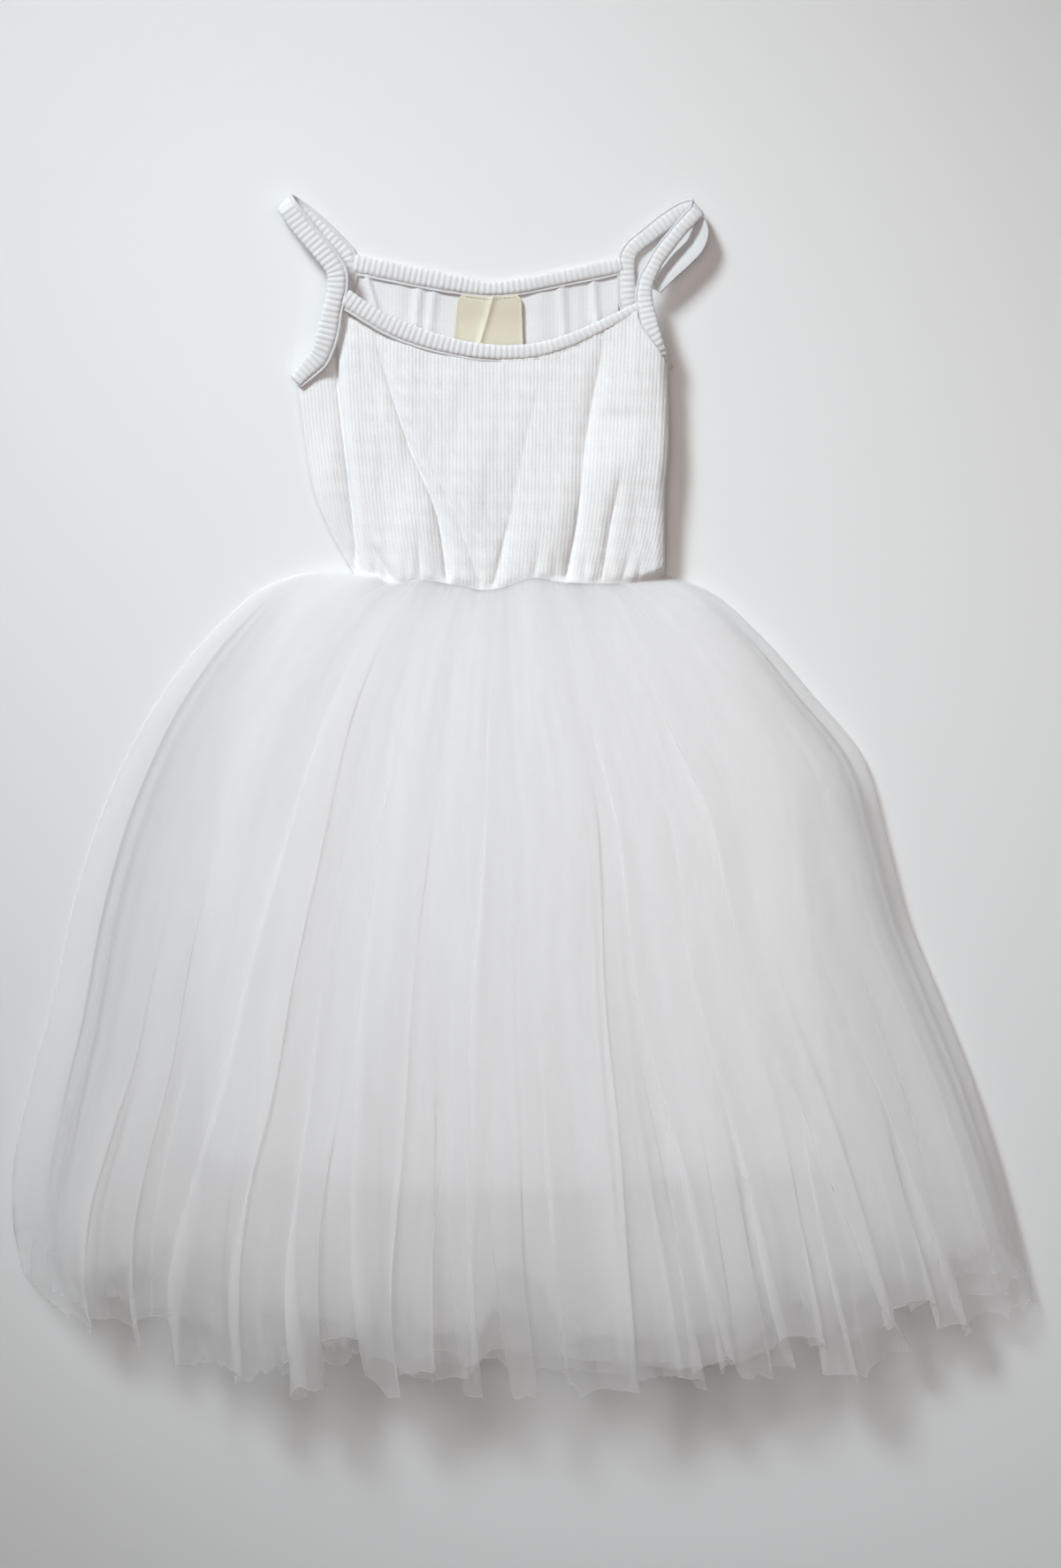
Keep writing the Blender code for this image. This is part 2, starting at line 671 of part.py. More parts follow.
def front_height(across, share):
    table = [column(FRONT_HEIGHTS, FRONT_HEIGHT_COLUMNS, n) for n in FRONT_HEIGHT_COLUMNS]
    waist, middle, top = [smooth_curve(across, table[0], t) for t in table[1:]]
    if share < FRONT_MIDDLE_ROW:
        return waist + (middle - waist) * share / FRONT_MIDDLE_ROW
    return middle + (top - middle) * (share - FRONT_MIDDLE_ROW) / (1.0 - FRONT_MIDDLE_ROW)


def fold_height(x, y):
    # What the folds take from the panel's height, and the ridges beside them add.
    change = np.zeros(len(x))
    for entry in BODICE_FOLDS:
        fold = dict(zip(FOLD_COLUMNS, entry))
        line = smooth_curve(y, FOLD_HEIGHTS, [fold["x1"], fold["x2"], fold["x3"], fold["x4"]])
        fade = np.clip((fold["fade_y"] - y) / FOLD_FADE_LENGTH, 0.0, 1.0)
        off = (x - line) / fold["width"]
        change -= fold["depth"] * fade * np.exp(-off * off)
        beside = off - RIDGE_OFFSET
        change += fold["ridge"] * fade * np.exp(-beside * beside)
    return change


def make_bodice_front(knit):
    # The outer face carries the ribs, and the plain inner face lies one wall below it.
    count = 2 * RIB_COUNT
    across = np.linspace(0.0, 1.0, count + 1)
    flat = bodice_grid(across, BODICE_ROWS, front_top)
    lowest = KNIT_WALL + SEAM_GAP
    face = np.zeros((len(BODICE_ROWS), count + 1, 3))
    for r, share in enumerate(BODICE_ROWS):
        x, y = flat[r, :, 0], flat[r, :, 1]
        base = front_height(across, share)
        room = np.clip((base - base[0]) / FOLD_ROOM, 0.0, 1.0)
        z = base + fold_height(x, y) * room
        face[r] = np.column_stack([x, y, np.maximum(z, base[0])])
    normal = np.cross(np.gradient(face, axis=1), np.gradient(face, axis=0))
    normal[..., 1] = 0.0
    normal /= np.linalg.norm(normal, axis=2)[..., None]
    normal *= np.sign(normal[..., 2:3])
    lower = face - normal * KNIT_WALL
    lower[..., 2] = np.maximum(lower[..., 2], lowest)
    lower[:, (0, -1), 2] = lowest
    crest = np.where(np.arange(count + 1) % 2 == 0, 0.0, RIB_HEIGHT)
    upper = face + normal * crest[None, :, None]
    return close_wall("bodice_front", upper, lower[:, ::INNER_STEP], knit)


def make_bodice_back(knit):
    under_left_arm = np.linspace(0.0, BACK_LEFT_ARM_END, BACK_LEFT_COLUMNS)
    between = np.linspace(BACK_LEFT_ARM_END, BACK_RIGHT_ARM_START, BACK_MIDDLE_COLUMNS)
    under_right_arm = np.linspace(BACK_RIGHT_ARM_START, 1.0, BACK_RIGHT_COLUMNS)
    across = np.concatenate([under_left_arm, between[1:-1], under_right_arm])
    flat = bodice_grid(across, BACK_ROWS, back_top)
    rows, columns = flat.shape[:2]
    lower = np.dstack([flat, np.zeros((rows, columns))])
    upper = np.dstack([flat, np.full((rows, columns), KNIT_WALL)])
    return close_wall("bodice_back", upper, lower, knit)


def make_label(satin):
    # A soft flap that hangs from the back neckline, with rounded top corners and one crease.
    middle = (LABEL_LEFT + LABEL_RIGHT) / 2.0
    half = (LABEL_RIGHT - LABEL_LEFT) / 2.0
    across = np.linspace(-1.0, 1.0, LABEL_COLUMNS + 1)
    x_top = middle + half * across
    top_y = back_top(x_top) - SEAM_GAP
    lower = np.zeros((len(LABEL_ROWS), len(across), 3))
    for r, share in enumerate(LABEL_ROWS):
        y = top_y + (LABEL_BOTTOM - top_y) * share
        fallen = np.clip(1.0 - (top_y[0] - y[0]) / LABEL_CORNER, 0.0, 1.0)
        cut_in = LABEL_CORNER * LABEL_CORNER_CUT * (1.0 - math.sqrt(1.0 - fallen**2))
        narrow = half - cut_in
        x = middle + narrow * across
        crease = LABEL_CREASE_TOP_X + (LABEL_CREASE_BOTTOM_X - LABEL_CREASE_TOP_X) * share
        rise = LABEL_CREASE_HEIGHT * np.exp(-(((x - crease) / LABEL_CREASE_WIDTH) ** 2))
        z = KNIT_WALL + SEAM_GAP + rise
        lower[r] = np.column_stack([x, y, z])
    upper = lower + np.array([0.0, 0.0, LABEL_WALL])
    return close_wall("label", upper, lower, satin)


def centre_on_origin():
    # Slides the whole dress so that the middle of its outline lies over the origin.
    bodies = [o for o in bpy.context.scene.objects if o.type == "MESH"]
    points = np.array([v.co[:] for o in bodies for v in o.data.vertices])
    middle = (points.min(axis=0) + points.max(axis=0)) / 2.0
    for body in bodies:
        for vertex in body.data.vertices:
            vertex.co.x -= middle[0]
            vertex.co.y -= middle[1]


def main():
    clear_scene()
    knit = make_material("white_rib_knit", WHITE_KNIT, 0.85)
    binding = make_material("white_binding", WHITE_KNIT, 0.80)
    tulle = make_material("white_tulle", WHITE_TULLE, 0.60)
    lining = make_material("white_lining", WHITE_KNIT, 0.85)
    satin = make_material("cream_label", CREAM_SATIN, 0.45)
    make_skirt(tulle, lining)
    make_bodice_front(knit)
    make_bodice_back(knit)
    ribbed_strip("neck_binding_front", NECK_FRONT, NECK_WIDTH, binding)
    ribbed_strip("neck_binding_back", NECK_BACK, NECK_WIDTH, binding)
    left_strap = LEFT_STRAP_FRONT + LEFT_STRAP_TIP + LEFT_STRAP_BACK
    right_strap = RIGHT_STRAP_FRONT + RIGHT_STRAP_TIP + RIGHT_STRAP_BACK
    ribbed_strip("strap_left", left_strap, STRAP_WIDTH, binding)
    ribbed_strip("strap_right", right_strap, STRAP_WIDTH, binding)
    make_label(satin)
    centre_on_origin()


main()
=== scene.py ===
# A child's tutu dress, laid flat on its back and seen from above: rib-knit camisole bodice with
# bound neckline and straps, and a gathered skirt of several tulle layers over a knit lining.
import math

import bmesh
import bpy
import numpy as np
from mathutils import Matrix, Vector


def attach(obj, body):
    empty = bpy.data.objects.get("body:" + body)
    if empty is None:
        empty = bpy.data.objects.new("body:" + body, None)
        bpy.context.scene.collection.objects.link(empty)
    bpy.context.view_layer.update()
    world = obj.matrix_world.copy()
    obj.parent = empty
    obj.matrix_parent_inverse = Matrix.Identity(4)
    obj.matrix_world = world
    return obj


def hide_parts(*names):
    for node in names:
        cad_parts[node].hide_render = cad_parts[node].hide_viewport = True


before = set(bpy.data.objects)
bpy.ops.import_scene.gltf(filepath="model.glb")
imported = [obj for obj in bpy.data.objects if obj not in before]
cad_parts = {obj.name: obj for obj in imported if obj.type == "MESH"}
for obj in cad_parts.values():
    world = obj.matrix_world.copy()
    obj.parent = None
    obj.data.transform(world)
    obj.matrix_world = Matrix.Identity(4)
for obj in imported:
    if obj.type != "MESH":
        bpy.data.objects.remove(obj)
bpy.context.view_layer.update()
print("frame loaded")

# Tables are in millimetres, in the cutting table's own coordinates. toFrame() moves them.
mm = 0.001
tableShift = np.array([0.25, 2.263, 0])
unevenness = {"waves": 7, "fineness": (0.6, 1.7), "calm": 3.2}


def toFrame(points):
    return (np.asarray(points, float) + tableShift) * mm


def smoothCurve(at, places, values):
    # A curve through the values that never overshoots them.
    places = np.asarray(places, float)
    values = np.asarray(values, float)
    steps = np.diff(values) / np.diff(places)
    slopes = np.zeros(len(places))
    slopes[0], slopes[-1] = steps[0], steps[-1]
    for i in range(1, len(places) - 1):
        if steps[i - 1] * steps[i] > 0:
            slopes[i] = 2 * steps[i - 1] * steps[i] / (steps[i - 1] + steps[i])
    at = np.clip(at, places[0], places[-1])
    k = np.clip(np.searchsorted(places, at, side="right") - 1, 0, len(places) - 2)
    span = places[k + 1] - places[k]
    t = (at - places[k]) / span
    ahead = t * t * (3 - 2 * t)
    bend = slopes[k] * span * t * (1 - t) ** 2 - slopes[k + 1] * span * t * t * (1 - t)
    return values[k] * (1 - ahead) + values[k + 1] * ahead + bend


def curveThrough(points, at):
    places, values = np.array(points, float).T
    return smoothCurve(at, places, values)


def unit(x):
    return np.clip(x, 0, 1)


def between(first, last, share):
    return first + (last - first) * share


def evenly(count):
    return np.linspace(0, 1, count)


def ease(low, high, x):
    t = unit((x - low) / (high - low))
    return t * t * (3 - 2 * t)


def softNoise(x, y, scale, seed):
    # Rolling unevenness between about -1 and 1, from a few crossed waves.
    rng = np.random.default_rng(seed)
    total = 0 * x * y
    for _ in range(unevenness["waves"]):
        turn = rng.uniform(0, math.tau)
        size = rng.uniform(*unevenness["fineness"]) * math.tau / scale
        shift = rng.uniform(0, math.tau)
        total = total + np.sin((x * math.cos(turn) + y * math.sin(turn)) * size + shift)
    return total / unevenness["calm"]


def waveHeight(wave, x, y, seed=0):
    # A wave's row: how much finer it runs across and down, its size, its own seed, its height.
    across, down, size, ownSeed, height = wave
    return height * softNoise(x * across, y * down, size, seed + ownSeed)


def stacked(*parts):
    return np.stack(parts, axis=-1)


def withHeight(xy, z):
    return stacked(xy[..., 0], xy[..., 1], z)


def linkPiece(name, data):
    piece = bpy.data.objects.new(name, data)
    bpy.context.scene.collection.objects.link(piece)
    return piece


def gridPiece(name, points, flatUv, ring=False, fields=None):
    # A quad mesh from rows of points. flatUv gives each point's place on the flat cloth, in
    # metres, and a ring joins each row's last point to its first.
    rows, columns = points.shape[:2]
    across = np.arange(columns if ring else columns - 1)
    r, c = np.meshgrid(np.arange(rows - 1), across, indexing="ij")
    below, after = r + 1, (c + 1) % columns
    quads = [r * columns + c, below * columns + c, below * columns + after, r * columns + after]
    faces = stacked(*quads).reshape(-1, 4)
    mesh = bpy.data.meshes.new(name)
    mesh.from_pydata(toFrame(points).reshape(-1, 3).tolist(), [], faces.tolist())
    wide = np.concatenate([flatUv, 2 * flatUv[:, -1:] - flatUv[:, -2:-1]], axis=1)
    corners = np.stack([wide[r, c], wide[below, c], wide[below, c + 1], wide[r, c + 1]], axis=-2)
    layer = mesh.uv_layers.new(name="cloth")
    layer.data.foreach_set("uv", corners.reshape(-1).astype(np.float32))
    for label, values in (fields or {}).items():
        field = mesh.attributes.new(label, "FLOAT", "POINT")
        spread = np.broadcast_to(values, (rows, columns)).reshape(-1)
        field.data.foreach_set("value", spread.astype(np.float32))
    mesh.shade_smooth()
    return linkPiece(name, mesh)


# Node trees: raised ribs on a surface, and stitches along a path.


def setInput(tree, socket, value):
    # The value is a number or a colour, a socket, or a node whose first output is meant.
    if isinstance(value, bpy.types.Node):
        value = value.outputs[0]
    if isinstance(value, bpy.types.NodeSocket):
        tree.links.new(value, socket)
    else:
        socket.default_value = value


def addNode(tree, kind, inputs=None, **settings):
    node = tree.nodes.new(kind)
    for label, value in settings.items():
        setattr(node, label, value)
    for key, value in (inputs or {}).items():
        setInput(tree, node.inputs[key], value)
    return node


def mathNode(tree, operation, *values):
    return addNode(tree, "ShaderNodeMath", dict(enumerate(values)), operation=operation)


def newTree(name, sizes):
    # A tree whose inputs are a mesh, the named sizes and a material.
    tree = bpy.data.node_groups.new(name, "GeometryNodeTree")
    sockets = tree.interface
    sockets.new_socket("Geometry", in_out="INPUT", socket_type="NodeSocketGeometry")
    for label, value in sizes.items():
        size = sockets.new_socket(label, in_out="INPUT", socket_type="NodeSocketFloat")
        size.default_value = value
    sockets.new_socket("Material", in_out="INPUT", socket_type="NodeSocketMaterial")
    sockets.new_socket("Geometry", in_out="OUTPUT", socket_type="NodeSocketGeometry")
    return tree, addNode(tree, "NodeGroupInput").outputs


def finishTree(tree, geometry, given):
    real = addNode(tree, "GeometryNodeRealizeInstances", {"Geometry": geometry})
    inputs = {"Geometry": real, "Material": given["Material"]}
    addNode(tree, "NodeGroupOutput", {0: addNode(tree, "GeometryNodeSetMaterial", inputs)})
    return tree


def makeRibTree():
    # Raises round-topped ribs along the normal. Each point's ribPhase counts ribs, and its
    # ribRoom says how much of the full height it may take.
    tree, given = newTree("raisedRibs", {"Rib Height": 0.0003, "Roundness": 0.7})
    phase, room = [
        addNode(tree, "GeometryNodeInputNamedAttribute", {"Name": label}, data_type="FLOAT")
        for label in ("ribPhase", "ribRoom")
    ]
    turn = mathNode(tree, "MULTIPLY", phase, math.pi)
    arch = mathNode(tree, "ABSOLUTE", mathNode(tree, "SINE", turn))
    profile = mathNode(tree, "POWER", arch, given["Roundness"])
    inRoom = mathNode(tree, "MULTIPLY", profile, room)
    height = mathNode(tree, "MULTIPLY", inRoom, given["Rib Height"])
    normal = addNode(tree, "GeometryNodeInputNormal")
    lift = addNode(tree, "ShaderNodeVectorMath", {0: normal, "Scale": height}, operation="SCALE")
    inputs = {"Geometry": given["Geometry"], "Offset": lift}
    raised = addNode(tree, "GeometryNodeSetPosition", inputs)
    # The rib height share is kept as ribTop, the mask for the knit material's painted groove shade.
    inputs = {"Geometry": raised, "Name": "ribTop", "Value": inRoom}
    kept = addNode(
        tree, "GeometryNodeStoreNamedAttribute", inputs, data_type="FLOAT", domain="POINT"
    )
    return finishTree(tree, kept, given)


def makeStitchTree():
    # Sets one small rounded stitch at every step along a path.
    tree, given = newTree("seamStitches", {"Step": 0.0022, "Length": 0.0016, "Thread": 0.0004})
    path = addNode(tree, "GeometryNodeMeshToCurve", {"Mesh": given["Geometry"]})
    inputs = {"Curve": path, "Length": given["Step"]}
    steps = addNode(tree, "GeometryNodeResampleCurve", inputs, mode="LENGTH")
    bead = addNode(tree, "GeometryNodeMeshUVSphere", {"Segments": 6, "Rings": 5, "Radius": 0.5})
    thread = given["Thread"]
    size = addNode(
        tree, "ShaderNodeCombineXYZ", {"X": given["Length"], "Y": thread, "Z": thread}
    )
    tangent = addNode(tree, "GeometryNodeInputTangent")
    turned = addNode(tree, "FunctionNodeAlignRotationToVector", {"Vector": tangent}, axis="X")
    inputs = {"Points": steps, "Instance": bead, "Rotation": turned, "Scale": size}
    return finishTree(tree, addNode(tree, "GeometryNodeInstanceOnPoints", inputs), given)


def shapeByTree(piece, tree, settings):
    # Runs a node tree over a piece and keeps the result as the piece's plain mesh.
    modifier = piece.modifiers.new(tree.name, "NODES")
    modifier.node_group = tree
    for item in tree.interface.items_tree:
        if item.item_type == "SOCKET" and item.in_out == "INPUT" and item.name in settings:
            modifier[item.identifier] = settings[item.name]
    bpy.context.view_layer.update()
    graph = bpy.context.evaluated_depsgraph_get()
    plain = bpy.data.meshes.new_from_object(
        piece.evaluated_get(graph), preserve_all_data_layers=True, depsgraph=graph
    )
    piece.modifiers.remove(modifier)
    # One material only, with no empty slot before it.
    plain.materials.clear()
    plain.materials.append(settings["Material"])
    plain.polygons.foreach_set("material_index", np.zeros(len(plain.polygons), np.int32))
    rough = piece.data
    piece.data = plain
    bpy.data.meshes.remove(rough)
    piece.data.name = piece.name
    piece.data.shade_smooth()


ribTree = makeRibTree()
stitchTree = makeStitchTree()


def raiseRibs(piece, height, roundness, material):
    sizes = {"Rib Height": height * mm, "Roundness": roundness}
    shapeByTree(piece, ribTree, {**sizes, "Material": material})


# Cloth materials.


def newMaterial(name, settings):
    material = bpy.data.materials.new(name)
    material.use_nodes = True
    shader = material.node_tree.nodes["Principled BSDF"]
    for label, value in settings.items():
        shader.inputs[label].default_value = value
    return material, material.node_tree, shader


def mixColours(tree, share, first, second):
    mix = addNode(tree, "ShaderNodeMix", {"Factor": share, 6: first, 7: second}, data_type="RGBA")
    return mix.outputs[2]


def joinShaders(tree, share, first, second):
    return addNode(tree, "ShaderNodeMixShader", {0: share, 1: first, 2: second})


def noiseNode(tree, place, scale, detail, roughness=0.5):
    inputs = {"Vector": place, "Scale": scale, "Detail": detail, "Roughness": roughness}
    return addNode(tree, "ShaderNodeTexNoise", inputs)


def bandNode(tree, cloth, inputs):
    # Fine bands that follow one another down the cloth.
    inputs = {"Vector": cloth, **inputs}
    bands = addNode(tree, "ShaderNodeTexWave", inputs, wave_type="BANDS", bands_direction="Y")
    return bands.outputs["Fac"]


def addBump(tree, shader, height, strength, distance):
    inputs = {"Height": height, "Strength": strength, "Distance": distance}
    setInput(tree, shader.inputs["Normal"], addNode(tree, "ShaderNodeBump", inputs))


def addRoughness(tree, shader, source, low, high):
    inputs = {"Value": source, "To Min": low, "To Max": high}
    setInput(tree, shader.inputs["Roughness"], addNode(tree, "ShaderNodeMapRange", inputs))


def knitMaterial(name, base, groove, course, fuzz):
    # Small stitch courses across the ribs, a soft fuzz, and painted shade that greys the grooves
    # between ribs.
    look = {"Roughness": 0.88, "Specular IOR Level": 0.25, "Sheen Weight": 0.25}
    material, tree, shader = newMaterial(name, {**look, "Sheen Roughness": 0.6})
    cloth = addNode(tree, "ShaderNodeUVMap", uv_map="cloth")
    wander = {"Scale": course, "Distortion": 1.2, "Detail": 1, "Detail Scale": 3}
    courses = bandNode(tree, cloth, wander)
    place = addNode(tree, "ShaderNodeTexCoord").outputs["Object"]
    fluff = noiseNode(tree, place, fuzz, 4, 0.6)
    patches = noiseNode(tree, place, 14, 2)
    top = addNode(tree, "ShaderNodeAttribute", attribute_name="ribTop")
    # Painted shade: where a point's ribTop is low, the colour turns to the darker groove colour.
    # That happens between the ribs and wherever the ribs fade out, as on the strips' smooth seam
    # ridges. Pieces without ribTop, such as the stitches, take that colour all over.
    shadedRibs = mixColours(tree, top.outputs["Fac"], groove, base)
    # Soft random patches drift toward the same darker colour, as uneven tone.
    softened = mathNode(tree, "MULTIPLY", patches, 0.10)
    setInput(tree, shader.inputs["Base Color"], mixColours(tree, softened, shadedRibs, groove))
    both = mathNode(tree, "ADD", mathNode(tree, "MULTIPLY", courses, 0.6), fluff)
    addBump(tree, shader, both, 0.35, 0.0002)
    addRoughness(tree, shader, fluff, 0.8, 0.95)
    return material


def tulleMaterial(name, base, shade):
    # Soft net: holes let the view through, and the threads scatter light to both sides.
    material, tree, shader = newMaterial(name, {"Roughness": 0.7, "Specular IOR Level": 0})
    # The net scatters light much the same whichever way it leans, so its leaning counts less.
    facing = addNode(tree, "ShaderNodeNewGeometry").outputs["Normal"]
    inputs = {0: facing, 1: (0.35, 0.35, 1)}
    softer = addNode(tree, "ShaderNodeVectorMath", inputs, operation="MULTIPLY")
    leaning = addNode(tree, "ShaderNodeVectorMath", {0: softer}, operation="NORMALIZE")
    cover = addNode(tree, "ShaderNodeAttribute", attribute_name="netCover").outputs["Fac"]
    tint = mixColours(tree, cover, shade, base)
    setInput(tree, shader.inputs["Base Color"], tint)
    thin = addNode(tree, "ShaderNodeBsdfTranslucent", {"Color": tint})
    clear = addNode(tree, "ShaderNodeBsdfTransparent")
    for scatter in (shader, thin):
        setInput(tree, scatter.inputs["Normal"], leaning)
    net = joinShaders(tree, 0.5, shader, thin)
    seen = joinShaders(tree, cover, clear, net)
    setInput(tree, tree.nodes["Material Output"].inputs["Surface"], seen)
    return material


def satinMaterial(name, base, shade):
    # Woven satin ribbon: fine cross threads, faint slow staining and a soft shine.
    look = {"Roughness": 0.45, "Specular IOR Level": 0.4, "Sheen Weight": 0.2}
    material, tree, shader = newMaterial(name, look)
    cloth = addNode(tree, "ShaderNodeUVMap", uv_map="cloth")
    weave = bandNode(tree, cloth, {"Scale": 900, "Distortion": 0.6})
    stain = noiseNode(tree, cloth, 90, 3)
    colour = mixColours(tree, mathNode(tree, "MULTIPLY", stain, 0.6), base, shade)
    setInput(tree, shader.inputs["Base Color"], colour)
    addBump(tree, shader, weave, 0.25, 0.0001)
    addRoughness(tree, shader, weave, 0.4, 0.6)
    return material


# Each knit's colour on its ribs, its darker groove colour that paints shade between the ribs, and
# how fine its courses and fuzz are.
knits = {
    "ribKnit": ((0.82, 0.82, 0.825, 1), (0.75, 0.75, 0.755, 1), 330, 900),
    # The inside knit is a darker copy of the same rib knit: painted shade for the back panel's
    # inside, under the front.
    "shadedKnitInside": ((0.755, 0.755, 0.765, 1), (0.725, 0.725, 0.735, 1), 330, 900),
    "bindingKnit": ((0.77, 0.77, 0.775, 1), (0.63, 0.63, 0.64, 1), 420, 900),
    "liningKnit": ((0.92, 0.92, 0.925, 1), (0.84, 0.84, 0.845, 1), 500, 700),
}
knit, shadedKnitInside, bindingKnit, liningKnit = [knitMaterial(k, *knits[k]) for k in knits]
tulle = tulleMaterial("softTulle", (1, 0.998, 1, 1), (0.985, 0.98, 0.982, 1))
labelSatin = satinMaterial("labelSatin", (0.70, 0.655, 0.52, 1), (0.62, 0.58, 0.45, 1))
print("materials and node trees made")

# The shape of the skirt's whole pile, as it was modelled for the solids.

waistEdge = (
    (-78, 96.2), (-66, 95.4), (-59.4, 92.8), (-52, 93.6), (-45, 95), (-34.6, 93.4), (-26, 92),
    (-18.2, 90.4), (-11, 91.2), (-5.4, 93), (5.4, 96), (17, 94), (34.2, 93.4), (47.4, 93.4),
    (55.8, 94.8), (64.5, 97.2),
)
skirt = {
    "waist": (-79, 63), "tucked": 1.2, "hemWidth": 462, "length": 380,
    "leftEdge": (
        (-79, 98), (-93, 99.2), (-114.6, 93.6), (-136.2, 76.8), (-154.2, 56.8), (-172.6, 29.2),
        (-191, -10.4), (-203.4, -50.4), (-212.6, -93.2), (-223.4, -133.2), (-231.2, -176),
        (-231.4, -191.2), (-226.2, -218.8),
    ),
    "rightEdge": (
        (63, 98), (81.4, 92), (105.8, 72), (127.4, 47.6), (155, 12.4), (163.8, -19.6),
        (173, -54.8), (187, -90), (203.8, -133.2), (216.2, -172.8), (231.4, -230.8),
    ),
    "hem": (
        (-226.2, -218.8), (-193, -242), (-165, -251), (-141, -258), (-95, -266), (-45, -272),
        (-1, -271), (75, -265.5), (111, -262), (139, -263), (167, -254), (195, -243),
        (231.4, -230.8),
    ),
    "rows": (
        (0, 9.1), (0.012, 10.9), (0.05, 13.6), (0.13, 18.5), (0.25, 24.5), (0.4, 29.5),
        (0.57, 33), (0.757, 35.5), (0.89, 37), (1, 37.5),
    ),
    "edgeReach": 3, "dome": (9, 3.2), "domeReachedAt": 0.4,
    "fall": (0.85, 0.5),
    "cornerDown": (0.5, 1), "cornerAcross": (0.1, 0.5), "cornerLift": 2.6, "cornerFall": 0.2,
}


def alongOutline(outline, share):
    x, y = np.array(outline, float).T
    far = np.concatenate([[0], np.cumsum(np.hypot(np.diff(x), np.diff(y)))])
    where = np.asarray(share) * far[-1]
    return stacked(smoothCurve(where, far, x), smoothCurve(where, far, y))


def waistPoint(u):
    x = between(*skirt["waist"], u)
    return stacked(x, curveThrough(waistEdge, x) + skirt["tucked"])


def hemPoint(u):
    x = between(skirt["hem"][0][0], skirt["hem"][-1][0], u)
    return stacked(x, curveThrough(skirt["hem"], x))


def skirtPoint(u, v):
    # Seen from above, u across the pile's outline and v from the waist to the hem.
    v = np.asarray(v, float) + 0 * u
    inside, down = unit(u), unit(v)
    points = waistPoint(u) * (1 - v)[..., None] + hemPoint(u) * v[..., None]
    share = down[..., None]
    for outline, end, near in (("leftEdge", 0, 1 - inside), ("rightEdge", 1, inside)):
        end = np.array([end])
        bow = alongOutline(skirt[outline], down)
        bow = bow - waistPoint(end) * (1 - share) - hemPoint(end) * share
        points = points + bow * (near ** skirt["edgeReach"])[..., None]
    return points


def pileHeight(v):
    return curveThrough(skirt["rows"], v)


def dome(u, v):
    # 1 over the middle of the pile, falling to 0 at its side edges.
    power = between(*skirt["dome"], unit(v / skirt["domeReachedAt"]))
    inside = unit(u)
    # The lower left corner stands up from the floor.
    atLeft = 1 - ease(*skirt["cornerAcross"], inside)
    corner = ease(*skirt["cornerDown"], v) * atLeft
    power = power + skirt["cornerLift"] * corner
    fall = between(*skirt["fall"], inside) - skirt["cornerFall"] * corner
    return unit(1 - np.abs(2 * inside - 1) ** power) ** fall


# The outermost layer's main folds, listed one by one. Each runs through its three places across
# the skirt, at the waist, half way down and at the hem; width and depth are in millimetres, a
# strength over 1 folds the net back on itself, lean says which side lies on top, start is how
# far down it begins, and the last two are how much shorter the hem is from it to the next one.
foldColumns = (
    "waist", "middle", "hem", "width", "depth", "strength", "lean", "start", "cutA", "cutB",
)
outerFolds = (
    (0.10, 0.09, 0.070, 3, 1.6, 2.4, 1, 0.55, 3, 10),
    (0.13, 0.13, 0.120, 2.6, 1, 1.6, 1, 0.72, 13, 15),
    (0.22, 0.19, 0.160, 3.2, 1.8, 2.5, -1, 0.20, 3, 0),
    (0.25, 0.236, 0.218, 2.4, 1.4, 2.2, 1, 0.15, 4, 1),
    (0.275, 0.27, 0.278, 2.8, 1.2, 2, -1, 0.37, -1, 0),
    (0.31, 0.305, 0.300, 2.2, 1.6, 2.4, 1, 0.72, 19, 26),
    (0.305, 0.318, 0.345, 3.4, 2.4, 2.8, -1, 0.22, 8, 5),
    (0.40, 0.375, 0.372, 2.6, 1.5, 2.2, 1, 0.33, 10, 13),
    (0.43, 0.425, 0.405, 2.6, 1.3, 2.1, 1, 0.65, 21, 20),
    (0.475, 0.455, 0.446, 3.2, 1.8, 2.4, -1, 0.16, 17, 15),
    (0.50, 0.505, 0.500, 2.4, 1.1, 1.8, 1, 0.72, 12, 9),
    (0.54, 0.535, 0.530, 2.6, 1.4, 2.3, -1, 0.60, 6, 5),
    (0.645, 0.620, 0.597, 3, 1.8, 2.4, 1, 0.30, 4, 3),
    (0.68, 0.665, 0.663, 2.6, 1.3, 2.1, -1, 0.45, 7, 9),
    (0.64, 0.665, 0.696, 3, 2, 2.6, -1, 0.20, 12, 13),
    (0.73, 0.728, 0.734, 2.4, 1.2, 2, 1, 0.70, 5, 4),
    (0.72, 0.735, 0.754, 3, 1.8, 2.6, -1, 0.33, 19, 17),
    (0.80, 0.795, 0.790, 2.6, 1.6, 2.5, 1, 0.72, 1, 0),
    (0.80, 0.805, 0.817, 2.8, 1.4, 2.2, -1, 0.50, 2, -1),
    (0.765, 0.800, 0.869, 3.4, 2.2, 2.8, -1, 0.20, 22, 16),
    (0.88, 0.890, 0.903, 2.4, 1.2, 2.1, 1, 0.72, 5, 3),
    (0.87, 0.888, 0.928, 2.6, 1.4, 2.3, -1, 0.55, 2, 1),
    (0.95, 0.955, 0.968, 2.4, 1, 1.7, -1, 0.45, 0, 0),
)
# What a fold does to the net: places are shares of its length or width, the rest is in mm.
foldShape = {
    "grows": (0.12, 0.28), "open": (0.45, 0.55), "overhang": 0.75, "hollow": 0.5, "deepest": 1.6,
    "panelRise": (-0.08, 0.08), "panelDrop": (0.92, 1.08), "panelGrows": 0.4, "steepest": 2.2,
    "narrowest": 0.004, "hemBlend": 0.007, "scallop": 3.2, "fullScallop": 60,
    "notch": 1.6, "notchWidth": 0.006, "deepestNotch": 2,
}
drawn = {"spread": 0.38, "sway": 0.012, "lastStart": 0.78}


